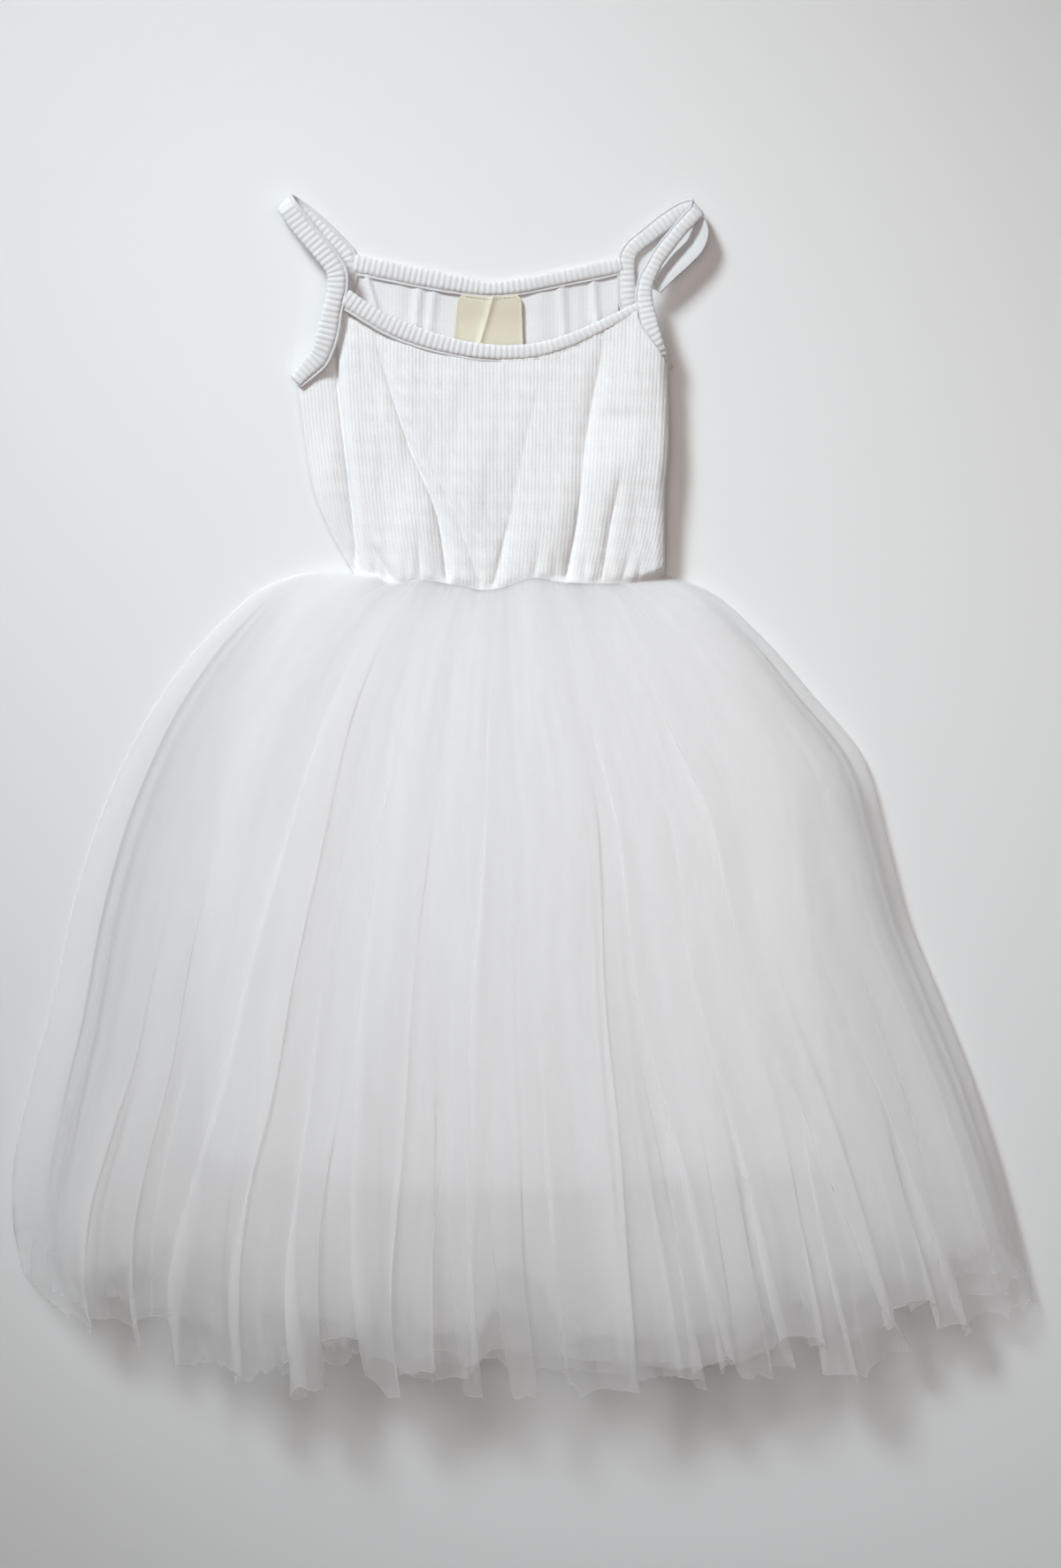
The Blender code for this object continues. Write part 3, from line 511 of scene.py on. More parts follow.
def drawFolds(seed, count, width, depth, strength, cut, start=0.25):
    # Uneven folds for a layer that is mostly hidden, spread over its width.
    rng = np.random.default_rng(seed)
    jitter = rng.uniform(-drawn["spread"], drawn["spread"], count)
    folds = []
    for place in (np.arange(count) + 0.5 + jitter) / count:
        sway = rng.normal(0, drawn["sway"], 2)
        wide = rng.uniform(*width)
        middle = place + 0.5 * sway[0] + 0.4 * sway[1]
        folds.append((
            place + sway[0], middle, place, wide, rng.uniform(*depth), rng.uniform(*strength),
            rng.choice((-1, 1)), rng.uniform(start, drawn["lastStart"]), rng.uniform(*cut),
            rng.uniform(*cut),
        ))
    return tuple(folds)


def broadFolds(seed, longest):
    # The few shallow folds of a layer's back.
    return drawFolds(seed, 6, (5, 9), (0.8, 1.4), (0.3, 0.8), (0, longest))


def readFolds(folds):
    # The folds as they are given, and in their order along the hem.
    rows = [dict(zip(foldColumns, entry)) for entry in folds]
    return rows, sorted(rows, key=lambda fold: fold["hem"])


def foldLine(fold, t):
    return smoothCurve(t, (0, 0.5, 1), (fold["waist"], fold["middle"], fold["hem"]))


def panelLift(folds, s, t):
    # The net between two folds lies as a slanting panel, which drops at the next fold.
    byHem = readFolds(folds)[1]
    lines = [0 * t] + [foldLine(fold, t) for fold in byHem] + [0 * t + 1]
    steepest, grows = foldShape["steepest"], foldShape["panelGrows"]
    tilts = [0] + [f["lean"] * min(f["strength"], steepest) * f["depth"] * 0.5 for f in byHem]
    starts = [0.5] + [fold["start"] for fold in byHem]
    lift = np.zeros(np.broadcast(s, t).shape)
    for here, after, tilt, start in zip(lines, lines[1:], tilts, starts):
        q = (s - here) / np.maximum(after - here, foldShape["narrowest"])
        inside = ease(*foldShape["panelRise"], q)
        inside = inside * (1 - ease(*foldShape["panelDrop"], q))
        lift += tilt * (0.5 - unit(q)) * inside * ease(start, start + grows, t)
    return lift


def foldNet(folds, s, t):
    # Sideways shift (share of the hem's width), lift (mm) and hem cut (mm) at cloth places s, t.
    rows, byHem = readFolds(folds)
    before, full = foldShape["grows"]
    opened = foldShape["open"][0] + foldShape["open"][1] * t
    shift = np.zeros(np.broadcast(s, t).shape)
    lift = np.zeros_like(shift)
    for fold in rows:
        width = fold["width"] / skirt["hemWidth"]
        start, depth = fold["start"], fold["depth"]
        grown = fold["strength"] * ease(start - before, start + full, t)
        q = (s - foldLine(fold, t)) / width
        bell = np.exp(-0.5 * q * q)
        shift += grown * width * -q * bell
        lift += grown * opened * (fold["lean"] * foldShape["overhang"] * depth * -q * bell)
        sunk = np.minimum(grown, foldShape["deepest"])
        lift -= sunk * opened * foldShape["hollow"] * depth * bell
    cut = np.zeros(s.shape[-1])
    flat = s.reshape(-1)
    blur = foldShape["hemBlend"]
    for here, after in zip(byHem, byHem[1:] + [None]):
        start, end = here["hem"], after["hem"] if after else 1
        q = unit((flat - start) / max(end - start, 1e-6))
        blend = ease(start - blur, start + blur, flat)
        if after:
            blend = blend - ease(end - blur, end + blur, flat)
        wideEnough = min(1, foldShape["fullScallop"] * (end - start))
        scallop = foldShape["scallop"] * np.sin(math.pi * q) * wideEnough
        cut += blend * (between(here["cutA"], here["cutB"], q) + scallop)
        notch = min(here["strength"], foldShape["deepestNotch"]) * foldShape["notch"]
        cut -= notch * np.exp(-np.abs(flat - start) / foldShape["notchWidth"])
    return shift, lift, cut[None, :]


# How much shorter the inner layers end than the outermost: place across the hem, millimetres.
innerHem = (
    (0, 14), (0.042, 30), (0.073, 42), (0.175, 40), (0.20, 18), (0.287, 20), (0.309, 36),
    (0.350, 32), (0.37, 20), (0.430, 18), (0.460, 46), (0.490, 44), (0.520, 18), (0.588, 14),
    (0.658, 9), (0.702, 12), (0.730, 20), (0.760, 40), (0.788, 38), (0.808, 20), (0.83, 33),
    (0.90, 36), (0.925, 24), (1, 22),
)

# The net's waves. A height of 1 is set by each layer or by the row's own use.
netWaves = {
    "sway": (1, 1, 210, 1, 0.004), "ragged": (1, 0, 22, 2, 1),
    "frayed": (1, 0, 5, 7, 0.5), "roll": (1.6, 0.35, 60, 3, 1),
    "crumple": (3.2, 0.9, 46, 5, 0.2), "flutes": (1, 0, 22, 6, 1),
    "gathers": (1, 0, 70, 4, 3), "fineStreaks": (1, 0.10, 26, 8, 1),
    "broadStreaks": (1, 0.12, 64, 9, 0.26), "backRagged": (1, 0, 17, 21, 1.8),
}
net = {
    "rowSpacing": 1.08, "sideHold": 12, "cutFrom": 0.60, "raggedPower": 14, "cutEdge": 0.6,
    "curl": 2.2, "curlAt": 0.25, "curlWidth": 0.05, "rollGrows": (0.4, 0.6), "fullInside": 1.6,
    "setIn": 0.25, "risen": 0.22, "mostSunk": 0.95, "gatherHeight": 0.10, "gatherLength": 0.06,
    "backCut": 8, "backHemShare": 0.9, "backRisen": 0.2,
}
# How much of the view the net covers, from the waist's gathers to the sheer hem's own edge.
netCover = {
    "fine": (0.03, 0.14), "gathered": 0.9, "gatherLength": 0.22,
    "sheerFrom": 0.86, "least": 0.12, "most": 0.85, "hemEdge": (0.35, 0.9),
    "backSheer": 0.35, "backSheerFrom": 0.80,
}


def netNoise(layer, kind, s, t):
    x, y = s * skirt["hemWidth"], t * skirt["length"]
    return waveHeight(netWaves[kind], x, y, layer["seed"])


def insetAcross(layer, across, t, grown):
    # Place across the pile of a layer that is set in from both side edges.
    left = layer["insetWaist"] * (1 - t) + layer["insetLeft"] * grown
    right = layer["insetWaist"] * (1 - t) + layer["insetRight"] * grown
    return left + (1 - left - right) * across


def sideHold(s):
    # Folds fade out at the side edges.
    return np.minimum(1, net["sideHold"] * np.minimum(s, 1 - s))


def frontNet(layer, s, t):
    shift, lift, cut = foldNet(layer["folds"], s, t)
    cut = cut + layer["hemShare"] * curveThrough(innerHem, s) + layer["hemUp"]
    lift = lift + layer["panels"] * panelLift(layer["panelFolds"], s, t)
    sway = netNoise(layer, "sway", s, t)
    grown = ease(0, net["setIn"], t)
    u = insetAcross(layer, s + (shift + sway) * sideHold(s), t, grown)
    v = t - cut / skirt["length"] * ease(net["cutFrom"], 1, t)
    curled = 1 + net["curl"] * np.exp(-(((s - net["curlAt"]) / net["curlWidth"]) ** 4))
    edge = netNoise(layer, "ragged", s, t) + netNoise(layer, "frayed", s, t)
    v = v + layer["ragged"] * curled / skirt["length"] * edge * t ** net["raggedPower"]
    domed = dome(u, v)
    z = between(layer["edge"], layer["share"] * pileHeight(v), domed)
    low, high = net["rollGrows"]
    rolls = layer["roll"] * netNoise(layer, "roll", s, t) * (low + high * t)
    uneven = lift + rolls + netNoise(layer, "crumple", s, t)
    inside = unit(domed * net["fullInside"])
    z = z + uneven * inside * ease(0, net["risen"], t)
    # The hem sinks between the flutes, and more so in the layers underneath.
    flutes = 1 + layer["flutes"] * netNoise(layer, "flutes", s, t)
    sunk = layer["droop"] * flutes * ease(layer["droopFrom"], 1, v)
    z = z * (1 - np.clip(sunk, 0, net["mostSunk"]))
    turn = netNoise(layer, "gathers", s, t)
    gathers = net["gatherHeight"] * np.sin(s * math.tau * layer["gathers"] + turn)
    z = z + gathers * np.exp(-t / net["gatherLength"]) * unit(domed)
    return withHeight(skirtPoint(u, v), np.maximum(z, layer["edge"]))


def netDensity(layer, s, t):
    # Gathered net is denser near the waist, and shows streaks down its length.
    low, high = netCover["fine"]
    fine = (low + high * t) * netNoise(layer, "fineStreaks", s, t)
    streaks = 1 + fine + netNoise(layer, "broadStreaks", s, t)
    gathered = 1 + netCover["gathered"] * np.exp(-t / netCover["gatherLength"])
    sheer = 1 - layer["sheerHem"] * ease(netCover["sheerFrom"], 1, t)
    density = layer["density"] * streaks * gathered
    density = np.clip(density * sheer, netCover["least"], netCover["most"])
    more, most = netCover["hemEdge"]
    density[-1] = np.minimum(density[-1] + more, most)
    sheer = 1 - netCover["backSheer"] * ease(netCover["backSheerFrom"], 1, t)
    return np.where(s > 1, layer["backDensity"] * sheer, density)


def backNet(layer, s, t):
    shift, lift, cut = foldNet(layer["backFolds"], s, t)
    cut = cut + net["backCut"] + net["backHemShare"] * curveThrough(innerHem, s)
    u = insetAcross(layer, s + shift * sideHold(s), t, t)
    ragged = netNoise(layer, "backRagged", s, t)
    v = t - cut / skirt["length"] * ease(net["cutFrom"], 1, t)
    v = v + ragged / skirt["length"] * t ** net["raggedPower"]
    floor = layer["backEdge"]
    z = floor + layer["backShare"] * pileHeight(v) * dome(u, v)
    z = z + lift * layer["backLift"] * ease(0, net["backRisen"], t)
    return withHeight(skirtPoint(u, v), np.maximum(z, floor - layer["backRoom"]))


def tubeMap(points, flat, t):
    # Where a tube's points lie on its flat cloth, in metres.
    around = np.linspace(0, flat[0], points.shape[1])[None, :] + 0 * t
    return stacked(around, flat[1] * t + 0 * around)


def tulleTube(name, layer):
    # One layer of net all round: its front and its back, joined at the side edges.
    front, back = layer["frontColumns"], layer["backColumns"]
    t = evenly(layer["rows"])[:, None] ** net["rowSpacing"]
    frontPoints = frontNet(layer, evenly(front)[None, :], t)
    backPoints = backNet(layer, np.linspace(1, 0, back)[None, :], t)
    points = np.concatenate([frontPoints, backPoints], axis=1)
    # The last row but one stands close to the hem, as the net's own cut edge.
    hemward = points[-3] - points[-1]
    far = np.maximum(np.linalg.norm(hemward, axis=1), 1)
    points[-2] = points[-1] + hemward * (net["cutEdge"] / far)[:, None]
    # The front runs over 0 to 1 and the back over 1 to 2, whatever their numbers of columns.
    places = np.concatenate([evenly(front), np.linspace(1.001, 2, back)])
    fields = {"netCover": netDensity(layer, places[None, :], t)}
    piece = gridPiece(name, points, tubeMap(points, layer["flat"], t), ring=True, fields=fields)
    piece.data.materials.append(tulle)
    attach(piece, "root")
    if layer["nodes"]:
        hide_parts(*layer["nodes"])


plainLayer = {
    "insetWaist": 0, "insetLeft": 0, "insetRight": 0, "edge": 0.9, "roll": 1.2, "ragged": 1,
    "gathers": 46, "backShare": 0, "backEdge": 0.45, "backLift": 0.10, "backRoom": 0.25,
    "droop": 0.16, "droopFrom": 0.90, "flutes": 0.9, "panels": 0.7, "density": 0.37,
    "backDensity": 0.8, "hemShare": 0, "hemUp": 0, "sheerHem": 0.3,
    "rows": 50, "frontColumns": 640, "backColumns": 240, "flat": (0.95, 0.385),
}
outerCreases = drawFolds(5, 15, (1.3, 2.4), (0.5, 1), (1, 2.1), (0, 0), 0.45)
sheets = {
    "tulleOuter": {
        "share": 0.97, "seed": 11, "rows": 64, "frontColumns": 760, "backColumns": 260,
        "folds": outerFolds + outerCreases, "panelFolds": outerFolds, "backFolds": broadFolds(6, 6),
        "nodes": ("tulle_outer_front", "tulle_outer_back"),
    },
    "tulleOuterUnder": {
        "share": 0.88, "seed": 12, "insetWaist": 0.02, "insetLeft": 0.034, "insetRight": 0.010,
        "edge": 1.3, "droop": 0.24, "flutes": 0.6, "density": 0.39, "hemShare": 0.40,
        "flat": (0.88, 0.38), "backEdge": 1, "backFolds": broadFolds(22, 6), "nodes": (),
        "folds": drawFolds(21, 15, (1.8, 5), (0.9, 1.8), (0.6, 2.4), (0, 4)),
    },
    "tulleMiddle": {
        "share": 0.76, "seed": 13, "insetWaist": 0.030, "insetLeft": 0.050, "insetRight": 0.018,
        "edge": 2.2, "droop": 0.22, "droopFrom": 0.80, "flutes": 0.35, "density": 0.50,
        "hemShare": 0.85, "hemUp": 1, "flat": (0.88, 0.36), "backDensity": 1,
        "backShare": 0.09, "backEdge": 1.6, "backLift": 0.5, "backRoom": 0.3,
        "folds": drawFolds(31, 8, (4, 8), (1, 2.4), (0.3, 1.5), (-4, 3)),
        "backFolds": broadFolds(32, 4), "nodes": ("tulle_middle_front", "tulle_middle_back"),
    },
    "tulleInner": {
        "share": 0.55, "seed": 15, "insetWaist": 0.042, "insetLeft": 0.066, "insetRight": 0.030,
        "edge": 3.4, "droop": 0.30, "droopFrom": 0.75, "flutes": 0.2, "density": 0.68,
        "hemShare": 1, "hemUp": 9, "flat": (0.82, 0.345), "backDensity": 1,
        "backShare": 0.24, "backEdge": 2.8, "backLift": 0.5, "backRoom": 0.3,
        "rows": 44, "frontColumns": 520, "backColumns": 200,
        "folds": drawFolds(51, 6, (5, 9), (1.2, 2.6), (0.3, 0.8), (-2, 4)),
        "backFolds": broadFolds(52, 4), "nodes": ("tulle_inner_front", "tulle_inner_back"),
    },
}
for sheetName, changes in sheets.items():
    layer = {**plainLayer, **changes}
    layer.setdefault("panelFolds", layer["folds"])
    tulleTube(sheetName, layer)
    print(sheetName, "made")


def sewSeam(name, paths, material, step, length, thread):
    # Stitches along one or more open paths of table points.
    mesh = bpy.data.meshes.new(name)
    points, edges = [], []
    for path in paths:
        first = len(points)
        points.extend(toFrame(path).tolist())
        edges.extend((first + i, first + i + 1) for i in range(len(path) - 1))
    mesh.from_pydata(points, edges, [])
    piece = linkPiece(name, mesh)
    sizes = {"Step": step, "Length": length, "Thread": thread}
    shapeByTree(piece, stitchTree, {**sizes, "Material": material})
    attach(piece, "root")


# Lining: plain knit, short of the net's hem. Its front and its back each have their share of
# the pile's height, and the height of their side edges.
lining = {
    "insetWaist": 0.052, "insetLeft": 0.17, "insetRight": 0.15, "down": 0.757,
    "front": (0.43, 4.6), "back": (0.34, 3.9), "rows": 60, "columns": 300, "flat": (0.62, 0.287),
    "hemWave": (300, 0, 90, 71, 0.006), "hemPower": 4, "foldsGrow": (0, 0.25),
    "folds": (420, 60, 55, 73, 0.9), "foldPower": 0.5, "stitchesUp": 0.15,
    "gathers": (142, 0, 7, 75, 0.4), "gatherLength": 0.09,
}


def liningTube(name):
    t = evenly(lining["rows"])[:, None]
    s = evenly(lining["columns"])[None, :]
    v = lining["down"] * t
    grids = []
    for side, across, (share, edge) in ((1, s, lining["front"]), (-1, 1 - s, lining["back"])):
        u = insetAcross(lining, across, t, t)
        hemWave, folds, gathers = [
            waveHeight(lining[kind], across, t, side) for kind in ("hemWave", "folds", "gathers")
        ]
        folds = folds * ease(*lining["foldsGrow"], t)
        folds = folds * np.sin(math.pi * across) ** lining["foldPower"]
        z = between(edge, share * pileHeight(v), dome(u, v)) + folds
        z = z + gathers * np.exp(-t / lining["gatherLength"])
        grids.append(withHeight(skirtPoint(u, v + hemWave * t ** lining["hemPower"]), z))
    points = np.concatenate(grids, axis=1)
    flatUv = tubeMap(points, lining["flat"], t)
    # ribTop is 1 all over, so the lining gets no painted groove shade.
    piece = gridPiece(name, points, flatUv, ring=True, fields={"ribTop": np.ones((1, 1))})
    piece.data.materials.append(liningKnit)
    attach(piece, "root")
    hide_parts("lining_front", "lining_back")
    hemRow = points[-3, : lining["columns"]] + np.array([0, 0, lining["stitchesUp"]])
    sewSeam("liningHemStitches", [hemRow], liningKnit, 0.0024, 0.0015, 0.00045)


liningTube("liningTube")
print("lining made")

# Bindings and straps: the middle of each strip, its height, the angle and width of its face.
strips = {
    "thick": 2.2, "thinnest": 0.35, "fullFrom": 5, "ribPitch": 2.65, "ribHeight": 0.34,
    "roundness": 0.7, "samplesPerRib": 6, "stepsPerStation": 24, "aroundFlat": (8, 1.1),
    "widths": (1, 0, 30, 0, 0.025), "ribWander": (1, 0, 18, 3, 0.05),
    "fading": (1, 0, 40, 9, 0.5), "fadesFrom": 1.2, "faintest": 0.5,
    "grooveAt": 0.34, "grooveHeight": 0.42, "lowest": 0.05, "lowestSeam": 0.3,
}
neckFront = (
    (-81.2, 222, 8.9, 62, 9.4), (-78.8, 220.4, 8.9, 62, 9.4), (-74, 217.2, 8.8, 61, 9.1),
    (-68.8, 214, 8.8, 62, 9.4), (-59.5, 209, 8.7, 66, 9.6), (-46.3, 203.7, 8.5, 70, 9.3),
    (-30.2, 199.4, 8.4, 76, 8.4), (-18.1, 197.5, 8.4, 84, 8), (-6.3, 197, 8.4, 93, 7.8),
    (5.8, 198, 9.1, 102, 7.7), (17.6, 201.1, 9.9, 112, 7.5), (28.7, 205.6, 10.9, 123, 6.6),
    (38.2, 210.1, 11.7, 133, 6.5), (45, 213.7, 11.9, 139, 5.8), (49.7, 216.4, 11.7, 137, 4.9),
    (53.1, 218.5, 11.5, 135, 4.5),
)
neckBack = (
    (-77.1, 237.9, 1.2, 88, 9.6), (-73.3, 237.2, 1.2, 85, 9.4), (-68.1, 236.1, 1.2, 80, 9.3),
    (-58.1, 234, 1.2, 80, 9.5), (-45.7, 231.6, 1.2, 80, 9.5), (-31.5, 228.9, 1.2, 82, 8.9),
    (-15.5, 226.7, 1.2, 87, 7.2), (0.2, 228.2, 1.2, 96, 7.8), (16.4, 231.4, 1.2, 99, 7.9),
    (29.2, 234.1, 1.2, 99, 8.1), (39.6, 236.3, 1.2, 99, 8.1), (44.2, 237.4, 1.2, 96, 7.8),
)
leftStrapFront = (
    (-102.5, 184.6, 3.9, -75, 7), (-98.3, 189, 4.6, -58, 9), (-94.3, 192.9, 5.6, -53, 10.5),
    (-91.7, 195.7, 6.6, -52, 10.6), (-89.6, 200.2, 7.6, -42, 10.2),
    (-88.1, 205.2, 8.4, -44, 10.5), (-86.7, 211, 8.9, -35, 9.8), (-85.7, 216.6, 9.3, -15, 9.3),
    (-84.3, 222.1, 9.5, -5, 9.2), (-83.4, 227.8, 9.6, 3, 9.6), (-83.7, 233.1, 9.6, 12, 9.8),
    (-85.6, 237.3, 9.6, 22, 9.6), (-91.5, 244.9, 9.6, 36, 9.7), (-95.9, 249.9, 9.5, 31, 9.7),
    (-99.4, 254.1, 9.4, 34, 9.8), (-103.2, 259.2, 9.2, 32, 9.7), (-106.2, 263.2, 8.6, 38, 9.4),
)
leftStrapBack = (
    (-107.4, 265.2, 5.4, 50, 10.2), (-105.2, 264.1, 2.4, 54, 10.9),
    (-102.3, 262.5, 1.5, 49, 10.3), (-97.7, 259.7, 1.2, 51, 9.6), (-90.6, 253.2, 1.2, 47, 9.6),
    (-84.2, 246.7, 1.2, 43, 9.6), (-79.9, 242.1, 1.2, 23, 9.1), (-79, 236.1, 1.2, 8, 8.7),
    (-80, 227.3, 1.2, 3, 9), (-81.1, 219.1, 1.2, -11, 8.5), (-82.8, 214.2, 1.2, -14, 9.6),
    (-86, 205.2, 1.2, -24, 9.8), (-90.8, 196.8, 1.2, -33, 9.8), (-96, 190.4, 1.2, -45, 9.4),
    (-101.5, 185.6, 1.2, -60, 8),
)
rightStrapFront = (
    (64.7, 191.8, 8, 22, 1.1), (63.4, 195.1, 11, 29, 2.5), (62, 198.3, 12.5, 28, 3.8),
    (60.4, 201.4, 13.3, 25, 4.9), (58.9, 204.2, 13.4, 14, 6.4), (57.2, 207.4, 13.2, 10, 7.7),
    (55.8, 211.2, 12.8, 5, 8.8), (54.7, 215.7, 12.2, 1, 8.6), (54, 220.1, 11.6, -3, 8.3),
    (53.9, 224.9, 11, -3, 7.6), (55.2, 230.3, 10.5, -6, 7.6), (57.4, 234.7, 10, -35, 7.1),
    (60.4, 240.2, 9.6, -28, 6.7), (63.8, 245.1, 9.3, -24, 6.9), (67.4, 249.7, 9, -24, 6.9),
    (71, 254, 8.7, -29, 7.1), (74.7, 258, 8.3, -36, 7.4), (77.6, 261.1, 7.4, -47, 7.6),
)
rightStrapBack = (
    (77.3, 263.2, 4.6, -51, 8.9), (73.3, 262.7, 2.6, -53, 9.3), (69, 260.7, 1.8, -46, 9.2),
    (62.5, 256.5, 1.4, -39, 8.5), (55, 250.6, 1.2, -37, 8), (50.4, 247, 1.2, -29, 7.8),
    (47.3, 242.9, 1.2, -21, 7.9), (46.2, 237.9, 1.2, -12, 7.8), (46.3, 232.9, 1.2, -3, 8.6),
    (46.5, 227.1, 1.2, -5, 9), (47, 221.7, 1.2, -13, 9), (50.2, 212.4, 1.2, 23, 9),
    (55.2, 202.9, 1.2, 32, 9), (60.4, 195.4, 1.2, 36, 8.4), (64.6, 189.8, 1.2, 38, 7),
)
rightStrapFold = (
    (80.4, 258.6, 6.2, -22, 2.4), (79.8, 252.8, 5.8, -20, 9), (77.4, 246.2, 5.8, -38, 10.2),
    (71.6, 240.1, 6, -47, 10.4), (65.3, 233.4, 6.6, -50, 9), (59.8, 225.8, 7.6, -52, 5.2),
)
# A strip's section from its seam edge: share of the width, share of half the thickness, and how
# much rib it carries. Both faces have a smooth rolled ridge at the seam, and a groove beside it.
halfSection = (
    (-0.490, 0.20, 0), (-0.455, 0.56, 0), (-0.410, 0.66, 0), (-0.370, 0.54, 0), (-0.340, 0.40, 0),
    (-0.305, 0.60, 0.4), (-0.255, 0.80, 1), (-0.120, 0.96, 1), (0.050, 1.02, 1), (0.220, 0.98, 1),
    (0.370, 0.84, 1), (0.455, 0.58, 0.9), (0.492, 0.25, 0.6),
)
stripSection = halfSection + tuple((x, -z, room) for x, z, room in halfSection[::-1])
plainSection = (
    (-0.5, 0, 0), (-0.44, 0.6, 0), (-0.25, 0.95, 0), (0, 1, 0), (0.25, 0.95, 0), (0.44, 0.6, 0),
    (0.5, 0, 0), (0.44, -0.6, 0), (0, -1, 0), (-0.44, -0.6, 0),
)


def stripPath(stations, spacing, tilt=0):
    # A strip's centre line, its direction, its width's direction and its width, evenly spaced.
    knots = np.array(stations, float)
    ends = np.vstack([2 * knots[0] - knots[1], knots, 2 * knots[-1] - knots[-2]])
    dense = []
    for i in range(1, len(ends) - 2):
        a, b, c, d = ends[i - 1 : i + 3]
        for t in np.linspace(0, 1, strips["stepsPerStation"], endpoint=False):
            bend = (2 * a - 5 * b + 4 * c - d) * t * t + (3 * b - a - 3 * c + d) * t**3
            dense.append(0.5 * (2 * b + (c - a) * t + bend))
    dense = np.array(dense + [ends[-2]])
    steps = np.linalg.norm(np.diff(dense[:, :3], axis=0), axis=1)
    far = np.concatenate([[0], np.cumsum(steps)])
    at = np.linspace(0, far[-1], max(4, round(far[-1] / spacing)) + 1)
    path = np.column_stack([np.interp(at, far, dense[:, k]) for k in range(5)])
    centre, turn = path[:, :3], np.radians(path[:, 3])
    along = np.gradient(centre, axis=0)
    along /= np.linalg.norm(along, axis=1)[:, None]
    wide = np.column_stack([np.cos(turn), np.sin(turn), 0 * turn])
    wide -= along * (wide * along).sum(1)[:, None]
    wide /= np.linalg.norm(wide, axis=1)[:, None]
    if tilt:
        wide = wide * math.cos(tilt) - np.cross(wide, along) * math.sin(tilt)
    return centre, along, wide, path[:, 4], at


def closeEnds(piece, around, stations):
    # Caps both ends of a strip, and turns every face outwards.
    shape = bmesh.new()
    shape.from_mesh(piece.data)
    shape.verts.ensure_lookup_table()
    for first in (0, (stations - 1) * around):
        shape.faces.new([shape.verts[first + i] for i in range(around)])
    bmesh.ops.recalc_face_normals(shape, faces=shape.faces)
    shape.to_mesh(piece.data)
    shape.free()
    piece.data.shade_smooth()


def boundStrip(name, node, stations, seamSide, upward, section=stripSection, thick=1, tilt=0):
    spacing = strips["ribPitch"] / strips["samplesPerRib"]
    centre, along, wide, width, far = stripPath(stations, spacing, tilt)
    face = upward * np.cross(wide, along)
    across, high, ribs = np.array(section).T[:, None, :]
    uneven = 1 + waveHeight(strips["widths"], far, far, len(name))
    offset = -seamSide * across * (width * uneven)[:, None]
    fullness = np.clip(width / strips["fullFrom"], strips["thinnest"], 1)
    half = strips["thick"] / 2 * thick * fullness
    lift = high * half[:, None]
    ring = centre[:, None, :] + wide[:, None, :] * offset[..., None]
    ring = ring + face[:, None, :] * lift[..., None]
    ring[..., 2] = np.maximum(ring[..., 2], strips["lowest"])
    phase = far / strips["ribPitch"] + waveHeight(strips["ribWander"], far, far)
    fading = np.abs(waveHeight(strips["fading"], far, far))
    faded = np.clip(strips["fadesFrom"] - fading, strips["faintest"], 1)
    wideFlat, highFlat = strips["aroundFlat"]
    steps = np.hypot(np.diff(across[0] * wideFlat), np.diff(high[0] * highFlat))
    around = np.concatenate([[0], np.cumsum(steps)])
    flatUv = stacked(*np.broadcast_arrays(around[None, :], far[:, None])) * mm
    fields = {"ribPhase": phase[:, None], "ribRoom": ribs * faded[:, None]}
    piece = gridPiece(name, ring, flatUv, ring=True, fields=fields)
    closeEnds(piece, len(section), len(centre))
    raiseRibs(piece, strips["ribHeight"], strips["roundness"], bindingKnit)
    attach(piece, "root")
    if node:
        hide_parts(node)
    groove = centre + wide * (seamSide * strips["grooveAt"] * width)[:, None]
    down = face * (strips["grooveHeight"] * half)[:, None]
    lowest = [-1e3, -1e3, strips["lowestSeam"]]
    return [np.maximum(seam, lowest) for seam in (groove + down, groove - down)]


def makeStrips():
    left, right = leftStrapFront + leftStrapBack, rightStrapFront + rightStrapBack
    seams = boundStrip("neckBindingFront", "neck_binding_front", neckFront, -1, -1)[:1]
    seams += boundStrip("neckBindingBack", "neck_binding_back", neckBack, -1, -1)[:1]
    seams += boundStrip("strapLeft", "strap_left", left, 1, 1)
    seams += boundStrip("strapRight", "strap_right", right, -1, 1)
    boundStrip("strapRightFold", None, rightStrapFold, -1, 1, plainSection, 0.6, math.radians(30))
    sewSeam("bindingStitches", seams, bindingKnit, 0.0021, 0.0015, 0.0004)


makeStrips()
print("bindings and straps made")

